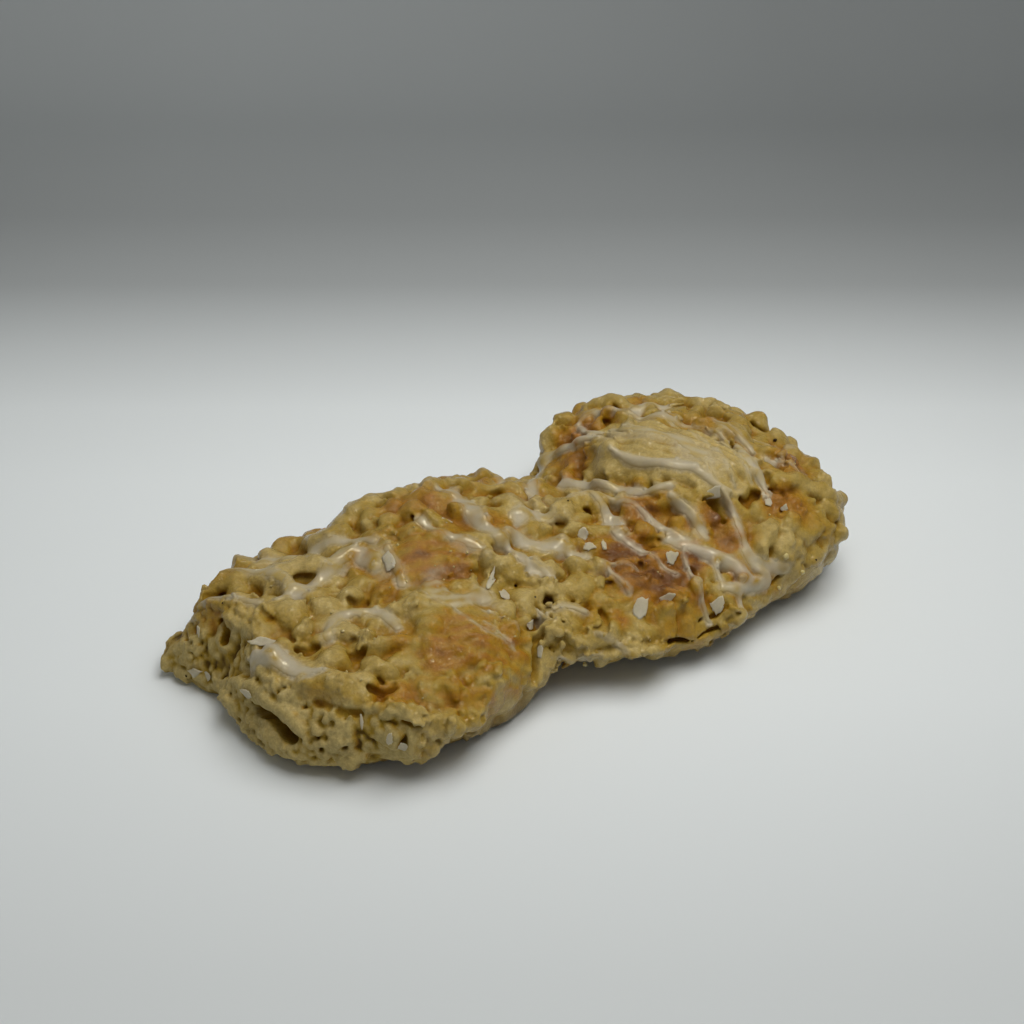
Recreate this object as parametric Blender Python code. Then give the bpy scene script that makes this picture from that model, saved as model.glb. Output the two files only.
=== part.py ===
"""Streusel danish: a bar of sweet dough baked as joined mounds, under streusel crumbs and icing.

One solid, in metres, +Z up. The long side runs along X, the near side faces -Y, and the
underside is flat at z = 0. The left end is torn off: a ragged face of open crumb, with a
pocket of shade under the edge of the topping.
"""
import math
import random
from typing import NamedTuple

import bmesh
import bpy
import numpy as np
from mathutils import Matrix, Vector, noise

MM = 0.001
SEED = 11

# How softly neighbouring mounds run into each other, and how far the dough sags unevenly.
BLEND = 5.0
LEDGE_BLEND = 1.2
UNEVENNESS = 0.8
UNEVEN_SCALE = 12.0

# The mesh of the dough: rings along the bar, points round each ring.
RINGS = 48
RING_POINTS = 36
RING_HEIGHT = 8.0
REACH = 60.0

# Streusel: radius of a crumb, how far its top stands above the dough's outline, and spacing.
CRUMB_RADIUS = (2.6, 3.7)
CRUMB_STRETCH = (0.8, 1.4)
CRUMB_STANDS = 1.2
CRUMB_SPACING = 6.9
CRUMB_COUNT = 106
CRUMB_LOWEST = 7.0
SMALL_CRUMB = 3.55
TOPPING_LOWEST = 0.5

# Icing: how far a strand stands above the dough and how deep it reaches into it.
ICING_STANDS = 0.9
ICING_ROOT = 2.4
ICING_STEP = 4.5


class Mound(NamedTuple):
    """A rounded block of dough, in millimetres."""

    middle: tuple
    half: tuple
    top: float
    rim: float = 8.0
    under: float = 15.0
    plan: float = 2.5
    section: float = 2.4
    turn: float = 0.0


NEAR_END = Mound((-38.2, -0.7), (32.4, 35.1), 19.7, rim=10.6, under=20, plan=2.4, section=1.8, turn=-8)
CROWN = Mound((-10.3, 10.8), (26.1, 25.7), 25.3, rim=9.1, under=18, section=2.1)
NEAR_CORNER = Mound((-22.9, -15.8), (13.9, 13.7), 19.5, rim=6.5, under=14)
TIP = Mound((-62.0, 16.5), (10.5, 10.0), 11.5, rim=4.5, under=12)
SADDLE = Mound((2.9, 9.7), (22.5, 27.8), 19.0, rim=7, under=16, section=2.2)
FOOT = Mound((18.6, -1.8), (29.7, 33.7), 20.3, rim=7.6, under=12, section=1.8, turn=2)
FAR_END = Mound((51.2, 9.4), (28.5, 39.7), 27.9, rim=12.1, under=18, plan=2.4, section=2.1, turn=-1.4)
LEDGE = Mound((40.1, -0.7), (31.1, 24.4), 5.2, rim=3, under=6, section=4, turn=9.7)
MOUNDS = (NEAR_END, CROWN, NEAR_CORNER, TIP, SADDLE, FOOT, FAR_END)

# The line along the bar that its rings are drawn round: x and y.
SPINE = ((-76, 8), (-62, 6), (-40, 0), (-10, 6), (5, 5), (20, 3), (50, 8), (82, 8))

# The torn end: the line of the tear on the floor, seen from above, and how ragged it is.
TEAR = ((-75, 45), (-72, 24), (-68, 14), (-64, 4), (-64, -6), (-63.5, -13), (-61, -21), (-57, -27), (-51, -44))
TEAR_RAGGED = 0.9
TEAR_STEP = 3.5
TEAR_BEYOND = -95.0

# Height and shift along X of the tear, from below the underside to above the top.
TEAR_PROFILE = ((-5.0, 0.0), (6.0, -0.4), (10.0, 1.2), (16.0, 3.5), (45.0, 8.0))

# The pocket under the topping at the tear: middle, half sizes and turn about Z.
POCKET_MIDDLE = (-60.5, -14.5, 8.2)
POCKET_HALF = (4.2, 8.0, 2.0)
POCKET_TURN = 20.0

# Bare crust, where no crumbs lie: ends of a band's middle line, in plan, and its half width.
GOLDEN_CRUST = ((-37.0, -30.0), (-22.0, -24.0), 10.0)
CROWN_CRUST = ((-25.0, -16.0), (-22.0, 4.0), 6.5)
FRONT_CRUST = ((-60.0, -30.0), (-40.0, -36.0), 6.0)
BROWN_CRUST = ((8.0, -25.0), (27.0, -20.0), 6.0)
SIDE_CRUST = ((0.0, -33.0), (56.0, -33.0), 4.0)
BARE_BANDS = (GOLDEN_CRUST, CROWN_CRUST, FRONT_CRUST, BROWN_CRUST, SIDE_CRUST)

# How much lower the dough lies where streusel covers it.
UNDER_TOPPING = 1.1

# The large pale slab of streusel on the far end.
SLAB_MIDDLE = (40.0, 0.5)
SLAB_HALF = (18.5, 9.5, 3.4)
SLAB_TURN = -64.0
SLAB_SINK = 0.8

# The crumbs that stand out most: x and y on the dough, and radius.
MAIN_CRUMBS = (
    (-49, 29, 3.1), (-44, -2, 2.9), (-50, -6, 2.9), (-43, -12, 3.1), (-38, -1, 3.2), (-49, -16, 3.6),
    (-32, -3, 2.9), (-43, -22, 2.9), (-61, -10, 2.9), (-60, -3, 2.9), (-23, 31, 2.9), (-17, 14, 3.2),
    (-10, 9, 2.9), (-9, -9, 2.9), (-9, -17, 3.6), (72, 18, 3.2), (71, -8, 3.1), (65, -26, 3.0),
    (57, -29, 3.4), (36, -12, 3.6), (3, -18, 3.7), (0, -12, 2.9), (6, -13, 2.9), (15, -31, 3.5),
    (46, -25, 3.6), (53, -27, 3.0), (1, -26, 3.2), (30, -8, 3.4), (-30, 16, 3.0), (-58, 22, 3.2),
)

# Thick strands of icing: points in plan and the width.
ICING_STRANDS = (
    (((-32, 12), (-42, 7), (-52, 3)), 4.0),
    (((-47, -11), (-41, -6), (-36, -8), (-35, -16)), 3.4),
    (((-60, -7), (-58, -11), (-55, -16), (-52, -19)), 5.5),
    (((1, 3), (6, 4), (9, 2)), 5.0),
    (((-3, -2), (0, -5), (6, -8)), 4.5),
    (((21, 21), (26, 12), (27, 3)), 3.6),
    (((41, -13), (42, -19), (41, -25)), 3.4),
    (((28, -16), (34, -23), (37, -29)), 5.0),
    (((27, -21), (26, -27), (26, -31)), 3.0),
    (((33, -29), (38, -29), (44, -28)), 3.7),
)


def mound_field(points, mound):
    """Below zero inside the mound, rising roughly by a millimetre for each millimetre outside."""
    angle = math.radians(mound.turn)
    x = points[..., 0] - mound.middle[0]
    y = points[..., 1] - mound.middle[1]
    z = points[..., 2]
    along = (x * math.cos(angle) + y * math.sin(angle)) / mound.half[0]
    across = (y * math.cos(angle) - x * math.sin(angle)) / mound.half[1]
    out = (np.abs(along) ** mound.plan + np.abs(across) ** mound.plan) ** (1 / mound.plan)
    up = np.where(z > mound.rim, (z - mound.rim) / (mound.top - mound.rim), (mound.rim - z) / mound.under)
    level = (out**mound.section + up**mound.section) ** (1 / mound.section)
    return (level - 1) * min(mound.half[0], mound.top - mound.rim)


def joined(a, b, softness):
    """The union of two fields, rounded where they meet."""
    share = np.clip(0.5 + 0.5 * (b - a) / softness, 0, 1)
    return b * (1 - share) + a * share - softness * share * (1 - share)


def dough_field(points):
    """Below zero inside the dough, at points in millimetres."""
    field = mound_field(points, MOUNDS[0])
    for mound in MOUNDS[1:]:
        field = joined(field, mound_field(points, mound), BLEND)
    field = joined(field, mound_field(points, LEDGE), LEDGE_BLEND)
    return np.maximum(field, -points[..., 2])


def spine_y(x):
    """Where the line that the rings are drawn round lies, at x."""
    return np.interp(x, [point[0] for point in SPINE], [point[1] for point in SPINE])


def way_out(origins, directions):
    """How far the dough's surface lies from points inside it, along unit directions."""
    near = np.zeros(directions.shape[:-1])
    far = np.full(directions.shape[:-1], REACH)
    for _ in range(24):
        middle = (near + far) / 2
        inside = dough_field(origins + middle[..., None] * directions) < 0
        near = np.where(inside, middle, near)
        far = np.where(inside, far, middle)
    return near


def tip(side):
    """The x of the dough's end on one side, at the rings' height."""
    start = np.array([side * 50.0, spine_y(side * 50.0), RING_HEIGHT])
    return start[0] + side * float(way_out(start, np.array([side * 1.0, 0.0, 0.0])))


def uneven(point):
    """The dough's slow rise and fall at a point, in millimetres."""
    return UNEVENNESS * noise.noise(Vector(point) / UNEVEN_SCALE)


def link(mesh_builder, name, collection=None):
    """An object of the built mesh, scaled to metres, with outward faces.

    What goes into a collection is topping, and stays clear of the underside.
    """
    if collection:
        for corner in mesh_builder.verts:
            corner.co.z = max(corner.co.z, TOPPING_LOWEST)
    bmesh.ops.recalc_face_normals(mesh_builder, faces=mesh_builder.faces)
    bmesh.ops.scale(mesh_builder, vec=(MM, MM, MM), verts=mesh_builder.verts)
    mesh = bpy.data.meshes.new(name)
    mesh_builder.to_mesh(mesh)
    mesh_builder.free()
    piece = bpy.data.objects.new(name, mesh)
    (collection or bpy.context.scene.collection).objects.link(piece)
    return piece


def bridge_rings(builder, rings):
    """Faces between neighbouring closed rings of vertices."""
    count = len(rings[0])
    for first, second in zip(rings, rings[1:]):
        for k in range(count):
            builder.faces.new((first[k], first[(k + 1) % count], second[(k + 1) % count], second[k]))


def fan(builder, ring, point):
    """Faces from a closed ring of vertices to one point."""
    apex = builder.verts.new(point)
    for k in range(len(ring)):
        builder.faces.new((ring[k], ring[(k + 1) % len(ring)], apex))


def make_dough():
    """The bare dough, from rings that follow the joined mounds."""
    left, right = tip(-1), tip(1)
    turns = (np.arange(RINGS) + 0.6) / (RINGS + 0.2) * math.pi
    stations = (left + right) / 2 - (right - left) / 2 * np.cos(turns)
    angles = np.arange(RING_POINTS) / RING_POINTS * 2 * math.pi
    outward = np.stack([np.zeros(RING_POINTS), np.sin(angles), np.cos(angles)], axis=-1)
    centres = np.stack([stations, spine_y(stations), np.full(RINGS, RING_HEIGHT)], axis=-1)
    centres = np.repeat(centres[:, None, :], RING_POINTS, axis=1)
    outward = np.repeat(outward[None], RINGS, axis=0)
    surface = centres + way_out(centres, outward)[..., None] * outward
    builder = bmesh.new()
    rings = []
    for row, ways in zip(surface, outward):
        ring = []
        for point, way in zip(row, ways):
            swell = uneven(point) if point[2] > 1 else 0
            if takes_crumbs(point):
                swell -= UNDER_TOPPING
            moved = point + swell * way
            ring.append(builder.verts.new((moved[0], moved[1], max(moved[2], 0))))
        rings.append(ring)
    bridge_rings(builder, rings)
    fan(builder, rings[0], (left, spine_y(left), RING_HEIGHT))
    fan(builder, rings[-1], (right, spine_y(right), RING_HEIGHT))
    return link(builder, "danish")


def tear_cutter():
    """The space beyond the torn end: a ragged upright face whose lower crumb stands out further."""
    picks = random.Random(SEED)
    points = []
    for (x0, y0), (x1, y1) in zip(TEAR, TEAR[1:]):
        steps = max(2, round(math.hypot(x1 - x0, y1 - y0) / TEAR_STEP))
        for k in range(steps):
            share = k / steps
            ragged = picks.uniform(-TEAR_RAGGED, TEAR_RAGGED)
            points.append((x0 + (x1 - x0) * share + ragged, y0 + (y1 - y0) * share))
    builder = bmesh.new()
    rings = []
    for height, shift in TEAR_PROFILE:
        row = [(x + shift + picks.uniform(-0.5, 0.5), y, height) for x, y in points]
        corners = [(TEAR_BEYOND, points[-1][1], height), (TEAR_BEYOND, points[0][1], height)]
        rings.append([builder.verts.new(point) for point in row + corners])
    bridge_rings(builder, rings)
    builder.faces.new(rings[0])
    builder.faces.new(rings[-1])
    bmesh.ops.triangulate(builder, faces=[face for face in builder.faces if len(face.verts) > 4])
    return link(builder, "tear_cutter")


def pocket_cutter():
    """The dark hollow under the topping's edge, open towards the tear."""
    builder = bmesh.new()
    bmesh.ops.create_icosphere(builder, subdivisions=2, radius=1)
    place = Matrix.Translation(POCKET_MIDDLE) @ Matrix.Rotation(math.radians(POCKET_TURN), 4, "Z")
    bmesh.ops.transform(builder, matrix=place @ Matrix.Diagonal((*POCKET_HALF, 1)), verts=builder.verts)
    return link(builder, "pocket_cutter")


def cut(piece, cutter):
    """Takes the cutter out of the piece."""
    combine(piece, "DIFFERENCE", "EXACT", cutter)
    bpy.data.objects.remove(cutter)


def combine(piece, operation, solver, cutter=None, collection=None):
    """Applies a Boolean with one object or with all those of a collection."""
    modifier = piece.modifiers.new(operation.lower(), "BOOLEAN")
    modifier.operation = operation
    modifier.solver = solver
    if collection:
        modifier.operand_type = "COLLECTION"
        modifier.collection = collection
    else:
        modifier.object = cutter
    bpy.context.view_layer.objects.active = piece
    bpy.ops.object.modifier_apply(modifier=modifier.name)


def surface_at(x, angle):
    """The surface point at x, straight out from the spine at an angle from up, positive to +Y."""
    way = np.array([0.0, math.sin(angle), math.cos(angle)])
    start = np.array([x, float(spine_y(x)), RING_HEIGHT])
    return start + float(way_out(start, way)) * way


def surface_over(x, y):
    """The surface point at x whose y is nearest to the one wanted, on the upper side."""
    angles = np.linspace(-1.9, 1.9, 153)
    ways = np.stack([np.zeros(len(angles)), np.sin(angles), np.cos(angles)], axis=-1)
    start = np.array([x, float(spine_y(x)), RING_HEIGHT])
    points = start + way_out(start, ways)[:, None] * ways
    return points[np.argmin(np.abs(points[:, 1] - y))]


def normal_at(point):
    """The direction straight out of the dough at a surface point."""
    steps = np.eye(3) * 0.3
    rise = [float(dough_field(point + step) - dough_field(point - step)) for step in steps]
    return Vector(rise).normalized()


def in_band(point, band):
    """Whether a point lies over a band of bare crust."""
    start, end, half_width = band
    run = Vector(end) - Vector(start)
    away = Vector((point[0], point[1])) - Vector(start)
    share = min(max(away.dot(run) / run.length_squared, 0), 1)
    return (away - share * run).length < half_width


def takes_crumbs(point):
    """Whether streusel lies on this part of the surface."""
    bare = any(in_band(point, band) for band in BARE_BANDS)
    on_slab = math.hypot(point[0] - SLAB_MIDDLE[0], point[1] - SLAB_MIDDLE[1]) < SLAB_HALF[1]
    torn_off = point[0] < np.interp(point[1], *zip(*sorted((y, x) for x, y in TEAR))) + 1.5
    return point[2] > CRUMB_LOWEST and not (bare or on_slab or torn_off)


def make_crumb(picks, point, radius, collection):
    """One crumb of streusel: a lopsided ball pressed into the dough."""
    builder = bmesh.new()
    bmesh.ops.create_icosphere(builder, subdivisions=2 if radius > SMALL_CRUMB else 1, radius=1)
    out = normal_at(point)
    facing = out.to_track_quat("Z", "Y").to_matrix().to_4x4()
    spin = Matrix.Rotation(picks.uniform(0, 2 * math.pi), 4, "Z")
    tilt = Matrix.Rotation(picks.uniform(-0.3, 0.3), 4, "X")
    length = picks.uniform(1, CRUMB_STRETCH[1])
    height = radius * picks.uniform(CRUMB_STRETCH[0], 1)
    size = Matrix.Diagonal((radius * length, radius, height, 1))
    middle = Vector(point) - out * (height - CRUMB_STANDS)
    middle.z = max(middle.z, radius * 0.95)
    place = Matrix.Translation(middle) @ facing @ spin @ tilt @ size
    bmesh.ops.transform(builder, matrix=place, verts=builder.verts)
    link(builder, "crumb", collection)


def crumb_places(picks):
    """Where the crumbs lie: the main ones by hand, then evenly spread ones that keep their distance."""
    places = [(surface_over(x, y), radius) for x, y, radius in MAIN_CRUMBS]
    tries = 0
    while len(places) < CRUMB_COUNT + len(MAIN_CRUMBS) and tries < 6000:
        tries += 1
        point = surface_at(picks.uniform(-70, 74), picks.uniform(-1.75, 1.75))
        radius = picks.uniform(*CRUMB_RADIUS)
        if takes_crumbs(point) and all(np.linalg.norm(point - other) > CRUMB_SPACING for other, _ in places):
            places.append((point, radius))
    return places


def make_slab(collection):
    """The large pale slab: a thick rounded cake that follows the far end's slope."""
    builder = bmesh.new()
    bmesh.ops.create_icosphere(builder, subdivisions=3, radius=1)
    turn = Matrix.Rotation(math.radians(SLAB_TURN), 3, "Z")
    for corner in builder.verts:
        boxy = sum(abs(value) ** 3 for value in corner.co) ** (-1 / 3)
        rough = 1 + 0.06 * noise.noise(corner.co * 2.2)
        shape = Vector(size * value for size, value in zip(SLAB_HALF, corner.co)) * boxy * rough
        spread = turn @ shape
        x, y = SLAB_MIDDLE[0] + spread.x, SLAB_MIDDLE[1] + spread.y
        corner.co = (x, y, surface_over(x, y)[2] - SLAB_SINK + spread.z)
    link(builder, "slab", collection)


def strand_points(corners):
    """Points of a smooth line through a strand's corners, about a step apart."""
    corners = [Vector(corner) for corner in corners]
    corners = [2 * corners[0] - corners[1], *corners, 2 * corners[-1] - corners[-2]]
    points = []
    for a, b, c, d in zip(corners, corners[1:], corners[2:], corners[3:]):
        steps = max(1, round((c - b).length / ICING_STEP))
        for k in range(steps):
            t = k / steps
            curve = 2 * b + (c - a) * t + (2 * a - 5 * b + 4 * c - d) * t**2 + (3 * b - a - 3 * c + d) * t**3
            points.append(curve / 2)
    points.append(corners[-2])
    return points


def make_strand(corners, width, collection):
    """One strand of icing: a low rounded strip that follows the dough, thinner at its ends."""
    points = [surface_over(*point) for point in strand_points(corners)]
    rings = []
    builder = bmesh.new()
    for k, point in enumerate(points):
        out = normal_at(point)
        run = Vector(points[min(k + 1, len(points) - 1)] - points[max(k - 1, 0)]).normalized()
        side = run.cross(out).normalized()
        half = width / 2 * (0.6 if k in (0, len(points) - 1) else 1)
        section = ((-1, 0), (-0.6, 0.8), (0.6, 0.8), (1, 0), (0, -1))
        ring = []
        for across, up in section:
            height = up * (ICING_STANDS if up > 0 else ICING_ROOT)
            ring.append(builder.verts.new(Vector(point) + side * across * half + out * height))
        rings.append(ring)
    bridge_rings(builder, rings)
    builder.faces.new(rings[0])
    builder.faces.new(rings[-1])
    link(builder, "strand", collection)


def make_toppings():
    """All that is baked onto the dough, in one collection."""
    collection = bpy.data.collections.new("toppings")
    bpy.context.scene.collection.children.link(collection)
    picks = random.Random(SEED + 1)
    for point, radius in crumb_places(picks):
        make_crumb(picks, point, radius, collection)
    make_slab(collection)
    for corners, width in ICING_STRANDS:
        make_strand(corners, width, collection)
    return collection


def baked_material():
    """Golden brown, slightly glazed pastry."""
    material = bpy.data.materials.new("baked_pastry")
    material.use_nodes = True
    shader = material.node_tree.nodes["Principled BSDF"]
    shader.inputs["Base Color"].default_value = (0.36, 0.23, 0.085, 1)
    shader.inputs["Roughness"].default_value = 0.5
    shader.inputs["Metallic"].default_value = 0
    return material


def keep_largest(piece):
    """Drops loose scraps, which share no whole edge with the bar itself."""
    builder = bmesh.new()
    builder.from_mesh(piece.data)
    bmesh.ops.triangulate(builder, faces=builder.faces)
    waiting = set(builder.faces)
    bodies = []
    while waiting:
        body = []
        growing = [waiting.pop()]
        while growing:
            face = growing.pop()
            body.append(face)
            shared = [edge for edge in face.edges if len(edge.link_faces) == 2]
            found = {other for edge in shared for other in edge.link_faces} & waiting
            waiting -= found
            growing.extend(found)
        bodies.append(body)
    main_body = set(max(bodies, key=len))
    scraps = [face for face in builder.faces if face not in main_body]
    bmesh.ops.delete(builder, geom=scraps, context="FACES")
    builder.to_mesh(piece.data)
    builder.free()


def centre_on_floor(piece):
    """Moves the bar so that the origin is in the middle of its underside."""
    places = np.array([corner.co for corner in piece.data.vertices])
    low, high = places.min(axis=0), places.max(axis=0)
    piece.data.transform(Matrix.Translation((-(low[0] + high[0]) / 2, -(low[1] + high[1]) / 2, -low[2])))


def main():
    for old in list(bpy.data.objects):
        bpy.data.objects.remove(old)
    danish = make_dough()
    cut(danish, tear_cutter())
    cut(danish, pocket_cutter())
    toppings = make_toppings()
    combine(danish, "UNION", "MANIFOLD", collection=toppings)
    for helper in list(toppings.objects):
        bpy.data.objects.remove(helper)
    bpy.data.collections.remove(toppings)
    keep_largest(danish)
    centre_on_floor(danish)
    danish.data.shade_smooth()
    danish.data.set_sharp_from_angle(angle=math.radians(40))
    danish.data.materials.append(baked_material())


main()
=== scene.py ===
"""Looks of the streusel danish: dough, streusel, icing, flakes and loose sugar, in fine detail.

The dough is described as a field on a fine grid, in millimetres, below zero inside. The same
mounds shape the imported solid. Streusel, crust, torn crumb and icing are worked into that field,
and closed meshes are drawn along its zero level.
"""

import math

import bmesh
import bpy
import numpy as np
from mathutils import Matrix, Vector


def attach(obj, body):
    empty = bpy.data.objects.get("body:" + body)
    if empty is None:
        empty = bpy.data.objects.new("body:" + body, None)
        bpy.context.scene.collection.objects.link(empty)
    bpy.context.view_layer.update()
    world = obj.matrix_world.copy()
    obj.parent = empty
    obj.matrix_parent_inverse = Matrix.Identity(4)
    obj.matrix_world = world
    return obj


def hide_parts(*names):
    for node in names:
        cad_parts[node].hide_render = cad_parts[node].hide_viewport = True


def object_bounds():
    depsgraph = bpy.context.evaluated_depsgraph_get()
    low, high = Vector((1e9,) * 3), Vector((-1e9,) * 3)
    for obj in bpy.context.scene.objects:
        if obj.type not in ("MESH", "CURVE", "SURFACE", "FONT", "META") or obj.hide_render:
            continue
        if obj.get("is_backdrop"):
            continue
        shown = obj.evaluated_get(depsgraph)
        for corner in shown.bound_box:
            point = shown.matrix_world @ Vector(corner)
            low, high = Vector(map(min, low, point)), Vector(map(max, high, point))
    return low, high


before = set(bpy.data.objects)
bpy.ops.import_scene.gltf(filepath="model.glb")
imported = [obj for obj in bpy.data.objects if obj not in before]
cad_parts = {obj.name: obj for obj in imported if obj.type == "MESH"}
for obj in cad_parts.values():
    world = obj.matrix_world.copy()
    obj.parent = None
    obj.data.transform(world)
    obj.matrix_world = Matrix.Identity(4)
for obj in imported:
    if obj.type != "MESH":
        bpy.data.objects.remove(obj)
cad_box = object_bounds()

MM = 0.001
SEED = 23

# The forms are described about the bar's own rings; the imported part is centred.
CENTRING = (4.313, 6.845, 0.0)

# The grid of the fields, in millimetres, and what brings its noise to a spread of about 0.5.
CELL = 0.45
GRID_LOW = (-76.5, -40.0, -1.4)
GRID_HIGH = (85.0, 53.5, 35.5)
FARTHEST = 8.0
NOISE_GAIN = 2.6

# The camera of the photograph, in millimetres about the bar.
FIELD_OF_VIEW = 42.0
IMAGE_SIZE = 1024
CAMERA_AT = np.array([-122.64, -202.17, 162.5])
CAMERA_AIM = np.array([22.32, 39.09, 0.0])

AXES = [np.arange(low, high, CELL, dtype=np.float32) for low, high in zip(GRID_LOW, GRID_HIGH)]
X, Y, Z = AXES[0][:, None, None], AXES[1][None, :, None], AXES[2][None, None, :]
SHAPE = tuple(len(axis) for axis in AXES)

# Mounds of dough: middle, half sizes in plan, top, and the rest as in mound_field.
MOUNDS = (
    dict(middle=(-38.2, -0.7), half=(32.4, 35.1), top=19.7, rim=10.6, under=20.0, plan=2.4,
         section=1.8, turn=-8.0),
    dict(middle=(-10.3, 10.8), half=(26.1, 25.7), top=25.3, rim=9.1, under=18.0, section=2.1),
    dict(middle=(-22.9, -15.8), half=(13.9, 13.7), top=19.5, rim=6.5, under=14.0),
    dict(middle=(-62.0, 16.5), half=(10.5, 10.0), top=11.5, rim=4.5, under=12.0),
    dict(middle=(2.9, 9.7), half=(22.5, 27.8), top=19.0, rim=7.0, under=16.0, section=2.2),
    dict(middle=(18.6, -1.8), half=(29.7, 33.7), top=20.3, rim=7.6, under=12.0, section=1.8, turn=2.0),
    dict(middle=(51.2, 9.4), half=(28.5, 39.7), top=27.9, rim=12.1, under=18.0, plan=2.4,
         section=2.1, turn=-1.4),
)
LEDGE = dict(middle=(40.1, -0.7), half=(31.1, 24.4), top=5.2, rim=3.0, under=6.0, section=4.0, turn=9.7)
BLEND = 5.0
LEDGE_BLEND = 1.2

# The line of the tear on the floor, in plan, how it leans with height and at its far corner, and how
# rough it is in lumps, crumb and threads, with the share of that which is left at the floor.
TEAR_LINE = (
    (-54, 45), (-57.5, 33), (-62, 25), (-67, 21.5), (-70.8, 18.5), (-69.6, 15), (-66, 9), (-62.6, 2.7),
    (-63.3, -3), (-63.4, -13), (-61, -20.5), (-56, -26.5), (-49, -32), (-40, -44),
)
TEAR_LEAN = ((-5.0, 0.0), (2.0, 0.0), (6.0, -0.4), (10.0, 1.2), (16.0, 3.5), (45.0, 8.0))
FAR_CORNER_LEAN = 5.0
TEAR_ROUGHNESS = (1.3, 0.8, 0.5)
ROUGH_AT_FLOOR = 0.5

# How far the foot's near side is drawn in, and how far the lowest rim of the whole bar is drawn in
# above the floor, in mm: everywhere, and more under the foot.
FOOT_DRAWN_IN = 2.4
UNDERCUT = (1.2, 5.0)
UNDERCUT_TOP = 3.4
UNDERCUT_POWER = 1.5

# How far the dough lies under its outline where streusel covers it, and where it is bare crust.
UNDER_STREUSEL = 1.5
OVER_CRUST = 0.1

# Heights in mm of the relief: broad unevenness, folds, streaks and two sizes of grain on the bare
# crust, leaves along the lower sides, two sizes of grain and the wrinkles of the streusel.
UNEVENNESS = 0.6
FOLD_HEIGHT = 0.4
STREAK_HEIGHT = 0.18
CRUST_GRAIN = (0.24, 0.12)
LEAF_HEIGHT = 0.75
STREUSEL_GRAIN = (0.2, 0.16)
WRINKLE_HEIGHT = 0.26

# Kinds of strewn lumps: how far apart, how many at most, the ranges of their radius and of how far
# they stand out, in mm or in radii, how softly they join, and how long the longest is for its width.
LARGE_STREUSEL = dict(spacing=5.6, most=900, radius=(1.9, 3.9), stands=(0.2, 1.1), softness=0.8, longest=1.8)
SMALL_STREUSEL = dict(spacing=3.6, most=500, radius=(0.9, 1.7), stands=(-0.5, 0.7), softness=0.6, longest=1.8)
CRUST_SUGAR = dict(spacing=1.25, most=1000, radius=(0.4, 0.7), stands=(0.1, 0.34), softness=0.3, longest=1.25)
SIDE_RUBBLE = dict(spacing=1.6, most=1100, radius=(0.5, 1.3), stands=(0.25, 0.8), softness=0.2, longest=2.0)
OPEN_CRUMB = dict(spacing=1.35, most=1400, radius=(0.5, 1.15), stands=(0.5, 1.0), softness=0.15, longest=1.5,
                  in_radii=True)

# How far the large strewn streusel keeps from the lumps and rolls that have a place of their own.
STREUSEL_GAP = 4.2

# How closely grooves are dug along their lines, in pixels, and the ranges of their radius and depth.
GROOVE_STEP = 2
GROOVE_RADIUS = (0.85, 1.1)
GROOVE_DEPTH = (0.55, 0.8)

# The lumps of the torn flap's lip: how far apart in pixels, and the range of their radius and height.
LIP_STEP = 3
LIP_LUMP = (0.9, 1.3)

# How far the thick icing stands over its soft edges, how deep it reaches into the crust, and the
# depth at which icing hides what lies under it.
ICING_STEP = 0.08
ICING_ROOT = 0.7
ICING_DEPTH = 0.38

# The most triangles of the two large pieces, and the smallest patch of icing as a share of the largest.
DOUGH_TRIANGLES = 195000
ICING_TRIANGLES = 120000
LEAST_ICING = 0.012

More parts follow.
